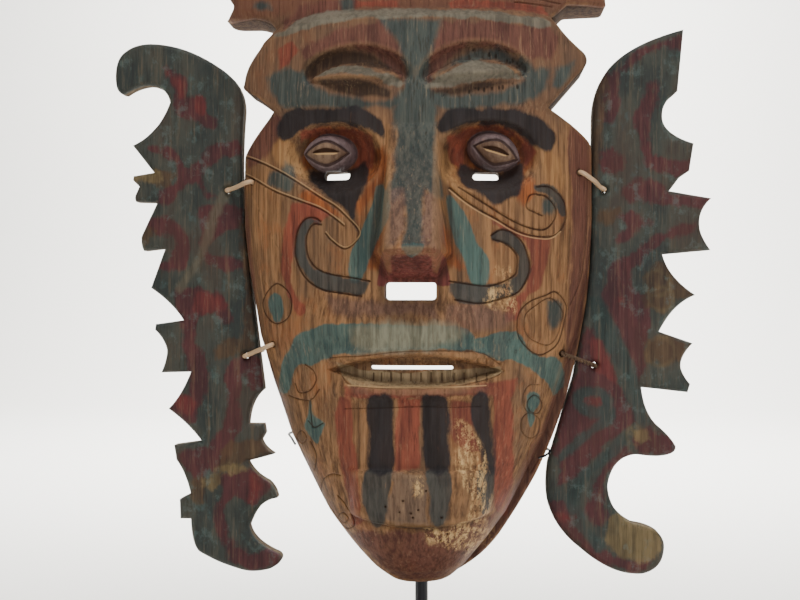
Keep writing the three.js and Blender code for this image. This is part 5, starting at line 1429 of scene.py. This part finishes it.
def mask_material():
    """Bare wood, washes of colour by height, worn layers of paint, and painted shade and highlights on the
    carving.
    """
    material, tree = new_material("painted_wood")
    net = Net(tree)
    grain = net.noise(360, 6, (1, 1, 0.045), 0.65)
    broad = net.noise(30, 5, (1, 1, 0.3), 0.6)
    blotch = net.noise(75, 5, (1, 1, 0.5), 0.65, (3, 1, 2))
    fine = net.noise(900, 4, (1, 1, 0.25), 0.6)
    strokes = net.noise(780, 4, (1, 1, 0.055), 0.7, (5, 2, 1))
    colour = net.mix(net.ramp(grain, 0.34, 0.66), srgb(90, 63, 44), srgb(160, 118, 80))
    colour = net.mix(net.ramp(broad, 0.42, 0.62, 0, 0.55), colour, srgb(104, 82, 64))
    colour = net.mix(net.ramp(blotch, 0.5, 0.68, 0, 0.5), colour, srgb(152, 92, 54))
    height_up = net.node("ShaderNodeSeparateXYZ", {0: net.object_place()}).outputs[2]
    colour = net.mix(net.ramp(height_up, CHIN_Z + 0.262, CHIN_Z + 0.284, 0, 0.6), colour, srgb(96, 74, 62))
    colour = net.mix(net.ramp(height_up, CHIN_Z + 0.335, CHIN_Z + 0.342, 0, 0.6), colour, srgb(112, 70, 56))
    rough_edge = net.math("SUBTRACT", blotch, 0.5)
    wear = net.blend(grain, 0.6, blotch)
    hollow = net.attribute("hollow")
    lines = net.ramp(strokes, 0.53, 0.66)
    gaps = net.ramp(strokes, 0.46, 0.34)
    for name, light, dark, cover, ragged, soft in LAYERS + TOP_LAYERS:
        if name == "grey":
            colour = net.mix(net.ramp(hollow, -0.6, -2.6, 0, 0.3), colour, srgb(168, 128, 88))
            lines = net.math("MULTIPLY", lines, net.ramp(broad, 0.35, 0.6, 0.22, 0.55))
            gaps = net.math("MULTIPLY", gaps, net.ramp(blotch, 0.4, 0.62, 0.04, 0.22))
            colour = net.mix(gaps, net.mix(lines, colour, srgb(48, 34, 27)), srgb(196, 160, 118))
        reach = net.math("ADD", net.attribute(name), net.math("MULTIPLY", rough_edge, ragged * 5))
        share = net.ramp(reach, -soft, soft)
        if name == "pale":
            share = net.math("MULTIPLY", share, net.ramp(net.noise(300, 8, (1, 1, 0.7), 0.85), 0.47, 0.55))
            pits = net.math("MULTIPLY", net.ramp(reach, -soft, soft, 0, 0.6), net.ramp(fine, 0.55, 0.68))
            colour = net.mix(pits, colour, srgb(60, 44, 32))
        thin = net.ramp(wear, 0.60, 0.72, cover, cover * 0.55)
        tone = worn_tone(net, grain, broad, 0.55, light, dark)
        colour = net.mix(net.math("MULTIPLY", share, thin), colour, tone)
    cell = net.node("ShaderNodeTexVoronoi", {"Vector": net.object_place((1, 1, 0.5)), "Scale": 420.0})
    peck = net.math("MULTIPLY", net.ramp(cell.outputs["Distance"], 0.2, 0.42, 1, 0),
                    net.ramp(net.attribute("pecked"), -0.8, 0.8))
    colour = net.mix(net.math("MULTIPLY", peck, 0.8), colour, srgb(36, 30, 24))
    # Painted shade: the colour darkens where the carving is hollow.
    colour = net.mix(net.ramp(hollow, 0.3, 3.0, 0, 0.45), colour, srgb(52, 34, 26))
    # Painted shade: the incised lines, eye carving and tooth nicks darken with the depth of the cut.
    colour = net.mix(net.ramp(net.attribute("groove"), 0.3, 0.95, 0, 0.72), colour, srgb(52, 32, 22))
    # Painted shade: the undercut top half of each eye's slit is darkened.
    colour = net.mix(net.ramp(net.attribute("slit"), -0.1, 0.4, 0, 0.9), colour, srgb(58, 36, 22))
    # Painted highlight: a light line along the lower half of each eye's slit.
    colour = net.mix(net.ramp(net.attribute("glint"), 0.0, 0.5, 0, 0.8), colour, srgb(196, 158, 108))
    # Painted highlights: light lines beside some grooves and on the lip's edge.
    colour = net.mix(net.ramp(net.attribute("shine"), 0, 0.5, 0, 0.6), colour, srgb(204, 166, 120))
    behind = net.attribute("behind")
    at_edge = net.ramp(net.attribute("edge"), 0.2, 2.2, 1, 0)
    scuffed = net.math("MULTIPLY", at_edge, net.ramp(blotch, 0.42, 0.6))
    scuffed = net.math("MULTIPLY", scuffed, net.ramp(behind, 0.4, 2.0, 0.5, 0))
    colour = net.mix(scuffed, colour, srgb(166, 124, 84))
    # Bare wood behind the carved front, on the sides, undersides and back, darkened as painted shade.
    bare = net.mix(net.ramp(grain, 0.36, 0.66), srgb(44, 32, 25), srgb(80, 59, 43))
    colour = net.mix(net.ramp(behind, 0.8, 3.5, 0, 0.9), colour, bare)
    height = net.math("ADD", net.math("MULTIPLY", grain, 0.8), net.math("MULTIPLY", fine, 0.35))
    height = net.math("SUBTRACT", height, net.math("MULTIPLY", strokes, 0.7))
    height = net.math("SUBTRACT", height, net.math("MULTIPLY", peck, 1.6))
    rough = net.math("MAXIMUM", net.ramp(blotch, 0.3, 0.7, 0.66, 0.52), net.ramp(behind, 0.3, 1.5, 0.5, 0.98))
    net.finish(colour, rough, height, 0.55, 0.0009, specular=0.16)
    return material


STREAK_WIDTH, RING_HALF_WIDTH = 5.0, 0.7


def paint_ear(piece):
    """Gives every corner its distances to the board's patches, its streak and its rings."""
    x, d, h = corners_on_mask(piece)
    behind = np.maximum(0, EAR_THICKNESS - BEHIND_FROM - d)
    set_values(piece, "behind", behind)
    for name, patches in EAR_PAINT.items():
        set_values(piece, name, np.maximum(-FAR, best_reach(x, h, patches, 3) - 2 * behind))
    set_values(piece, "streak", stroke_reach(x, h, flowing(STREAK), STREAK_WIDTH) - 2 * behind)
    rings = np.min([np.abs(np.hypot(x - a, h - b) - r) for a, b, r in EAR_RINGS], axis=0)
    set_values(piece, "rings", np.maximum(-FAR, RING_HALF_WIDTH - rings - 2 * behind))


# Layers over the boards' dark ground: name, light and dark colour, how much covers, how ragged the border is

EAR_LAYERS = (
    ("maroon", (98, 56, 57), (68, 44, 46), 0.95, 2.6),
    ("brown", (100, 76, 54), (66, 52, 42), 0.8, 2.8),
    ("band", (68, 78, 74), (46, 56, 54), 0.9, 1.6),
    ("red", (118, 56, 54), (86, 46, 46), 0.85, 2.4),
    ("streak", (116, 108, 88), (86, 80, 68), 0.7, 1.4),
    ("scuff", (142, 122, 84), (84, 71, 50), 0.8, 2.8),
    ("rings", (122, 104, 72), (82, 70, 52), 0.6, 0.9),
)


def ear_material():
    """A dark ground, worn layers of paint, fine streaks along the grain and pale flecks."""
    material, tree = new_material("painted_board")
    net = Net(tree)
    grain = net.noise(330, 6, (1, 1, 0.05), 0.65)
    broad = net.noise(34, 4, (1, 1, 0.5), 0.6)
    blotch = net.noise(90, 5, (1, 1, 0.7), 0.65, (3, 1, 2))
    fine = net.noise(900, 4, (1, 1, 0.3), 0.6)
    strokes = net.noise(780, 4, (1, 1, 0.06), 0.7, (5, 2, 1))
    colour = net.mix(net.ramp(broad, 0.36, 0.64), srgb(53, 58, 56), srgb(78, 78, 70))
    colour = net.mix(net.ramp(blotch, 0.56, 0.7, 0, 0.55), colour, srgb(76, 96, 92))
    rough_edge = net.math("SUBTRACT", blotch, 0.5)
    for name, light, dark, cover, ragged in EAR_LAYERS:
        reach = net.math("ADD", net.attribute(name), net.math("MULTIPLY", rough_edge, ragged * 6))
        share = net.ramp(reach, -1.6, 1.6, 0, cover)
        colour = net.mix(share, colour, worn_tone(net, grain, broad, 0.4, light, dark))
    colour = net.mix(net.ramp(grain, 0.55, 0.7, 0, 0.4), colour, srgb(110, 92, 70))
    colour = net.mix(net.ramp(strokes, 0.53, 0.67, 0, 0.4), colour, srgb(40, 32, 28))
    colour = net.mix(net.ramp(strokes, 0.46, 0.34, 0, 0.13), colour, srgb(150, 130, 100))
    colour = net.mix(net.ramp(broad, 0.5, 0.64, 0, 0.5), colour, srgb(60, 46, 42))
    flecks = net.noise(120, 6, (1, 1, 0.8), 0.7, (7, 5, 1))
    colour = net.mix(net.ramp(flecks, 0.54, 0.7, 0, 0.3), colour, srgb(104, 124, 118))
    behind = net.attribute("behind")
    bare = net.mix(net.ramp(grain, 0.36, 0.66), srgb(64, 50, 37), srgb(104, 86, 63))
    colour = net.mix(net.ramp(behind, 0.3, 1.8, 0, 0.8), colour, bare)
    colour = net.mix(net.ramp(behind, 5.5, 8.0, 0, 0.8), colour, srgb(74, 54, 40))
    height = net.math("ADD", grain, net.math("MULTIPLY", fine, 0.35))
    rough = net.math("MAXIMUM", net.ramp(blotch, 0.3, 0.7, 0.66, 0.5), net.ramp(behind, 0.1, 0.8, 0.5, 0.98))
    net.finish(colour, rough, height, 0.5, 0.0008, specular=0.14)
    return material


def plain_material(name, colour, roughness, metallic=0.0):
    """One colour with a faint fine grain."""
    material, tree = new_material(name)
    net = Net(tree)
    grain = net.noise(700, 3)
    darker = tuple(c * 0.8 for c in colour)
    net.finish(net.mix(grain, colour, darker), roughness, grain, 0.2, 0.0003, metallic)
    return material


# The pieces

def fit(piece, node, material):
    """Keeps a piece inside the CAD box, gives it its material and puts it in its CAD node's place."""
    places = np.clip(corners(piece), *np.array(CAD_BOX, np.float32))
    piece.data.vertices.foreach_set("co", places.ravel())
    piece.data.update()
    piece.data.materials.append(material)
    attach(piece, "root")
    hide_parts(node)


mask_paint = mask_material()
ear_paint = ear_material()
rattan = plain_material("rattan", srgb(218, 182, 144), 0.5)
dark_cord = plain_material("dark_cord", srgb(96, 74, 56), 0.75)
black_steel = plain_material("black_steel", srgb(44, 44, 48), 0.42, 0.5)

face = make_face()
openings = [rounded_box(*slot) for slot in FACE_SLOTS]
openings += [circle(*face_hole, LASHING_HOLE / 2, 20) for _, _, face_hole in LASHINGS]
cut_through(face, openings)
paint_face(face)
fit(face, "mask_face", mask_paint)

for name, outline, holes in (("ear_left", LEFT_EAR, [t[1] for t in LASHINGS[:2]]),
                             ("ear_right", RIGHT_EAR, [t[1] for t in LASHINGS[2:]])):
    ear = make_board(name + "_board", outline, holes)
    paint_ear(ear)
    fit(ear, name, ear_paint)

for name, ear_hole, face_hole in LASHINGS:
    dark = name == "tie_lower_right"
    radius = CORD_RADIUS if dark else RATTAN_RADIUS
    route = smooth_route(route_world(tie_route(ear_hole, face_hole, radius)), 160 if dark else 70)
    strand = name + "_strand"
    tie = make_cord(strand, route, radius * MM) if dark else make_tube(strand, route, radius * MM, 12, 0.04)
    fit(tie, name, dark_cord if dark else rattan)

for name in ("stand_rod", "edge_wire", "foot_plate"):
    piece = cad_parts[name]
    piece.data.materials.clear()
    piece.data.materials.append(black_steel)


# Camera, light and stage

CAMERA_LENS = 46.45
CAMERA_PLACE = (0.03014, -0.6247, 0.24546)
CAMERA_TURN = 3.7

view = bpy.data.cameras.new("camera")
view.lens = CAMERA_LENS
view.sensor_width = 36
camera = bpy.data.objects.new("camera", view)
bpy.context.scene.collection.objects.link(camera)
camera.location = CAMERA_PLACE
camera.rotation_euler = (math.radians(90), 0, math.radians(CAMERA_TURN))
bpy.context.scene.camera = camera


def area_light(name, place, aim, size, power, colour=(1, 1, 1)):
    """A round soft lamp at a place, turned towards its aim."""
    lamp = bpy.data.lights.new(name, "AREA")
    lamp.shape = "DISK"
    lamp.size = size
    lamp.energy = power
    lamp.color = colour
    made = bpy.data.objects.new(name, lamp)
    made.location = place
    made.rotation_euler = (Vector(aim) - Vector(place)).to_track_quat("-Z", "Y").to_euler()
    bpy.context.scene.collection.objects.link(made)


area_light("key", (0.08, -0.85, 1.75), (0, 0, 0.27), 0.8, 17.0, (1.0, 0.98, 0.95))
area_light("fill", (0.7, -1.5, 0.4), (0, 0, 0.22), 1.0, 7.5, (0.97, 0.98, 1.0))
area_light("wall", (0.0, 0.75, 1.5), (0, 2.4, 0.35), 1.4, 185)

world = bpy.data.worlds.new("soft_light")
world.use_nodes = True
world.node_tree.nodes["Background"].inputs[0].default_value = (1, 1, 1, 1)
world.node_tree.nodes["Background"].inputs[1].default_value = 0.3
bpy.context.scene.world = world

# The backdrop: a floor, a quarter round and a wall, in metres

BACKDROP_HALF_WIDTH, FLOOR_FRONT, BEND_FROM, BEND_RADIUS, WALL_TOP = 5, -4.0, 1.6, 0.8, 5.0

across = np.linspace(-BACKDROP_HALF_WIDTH, BACKDROP_HALF_WIDTH, 21)
bend = [(BEND_FROM + BEND_RADIUS * math.sin(a), BEND_RADIUS - BEND_RADIUS * math.cos(a))
        for a in np.linspace(0, math.pi / 2, 13)]
rise = [(FLOOR_FRONT, 0.0), *bend, (BEND_FROM + BEND_RADIUS, WALL_TOP)]
sweep = np.array([[(x, y, z) for x in across] for y, z in rise])
backdrop = new_piece("backdrop", sweep, grid_faces(len(rise), len(across)))
sweep_paint, sweep_tree = new_material("backdrop")
Net(sweep_tree).finish(srgb(240, 238, 232), 0.9, specular=0.1)
backdrop.data.materials.append(sweep_paint)
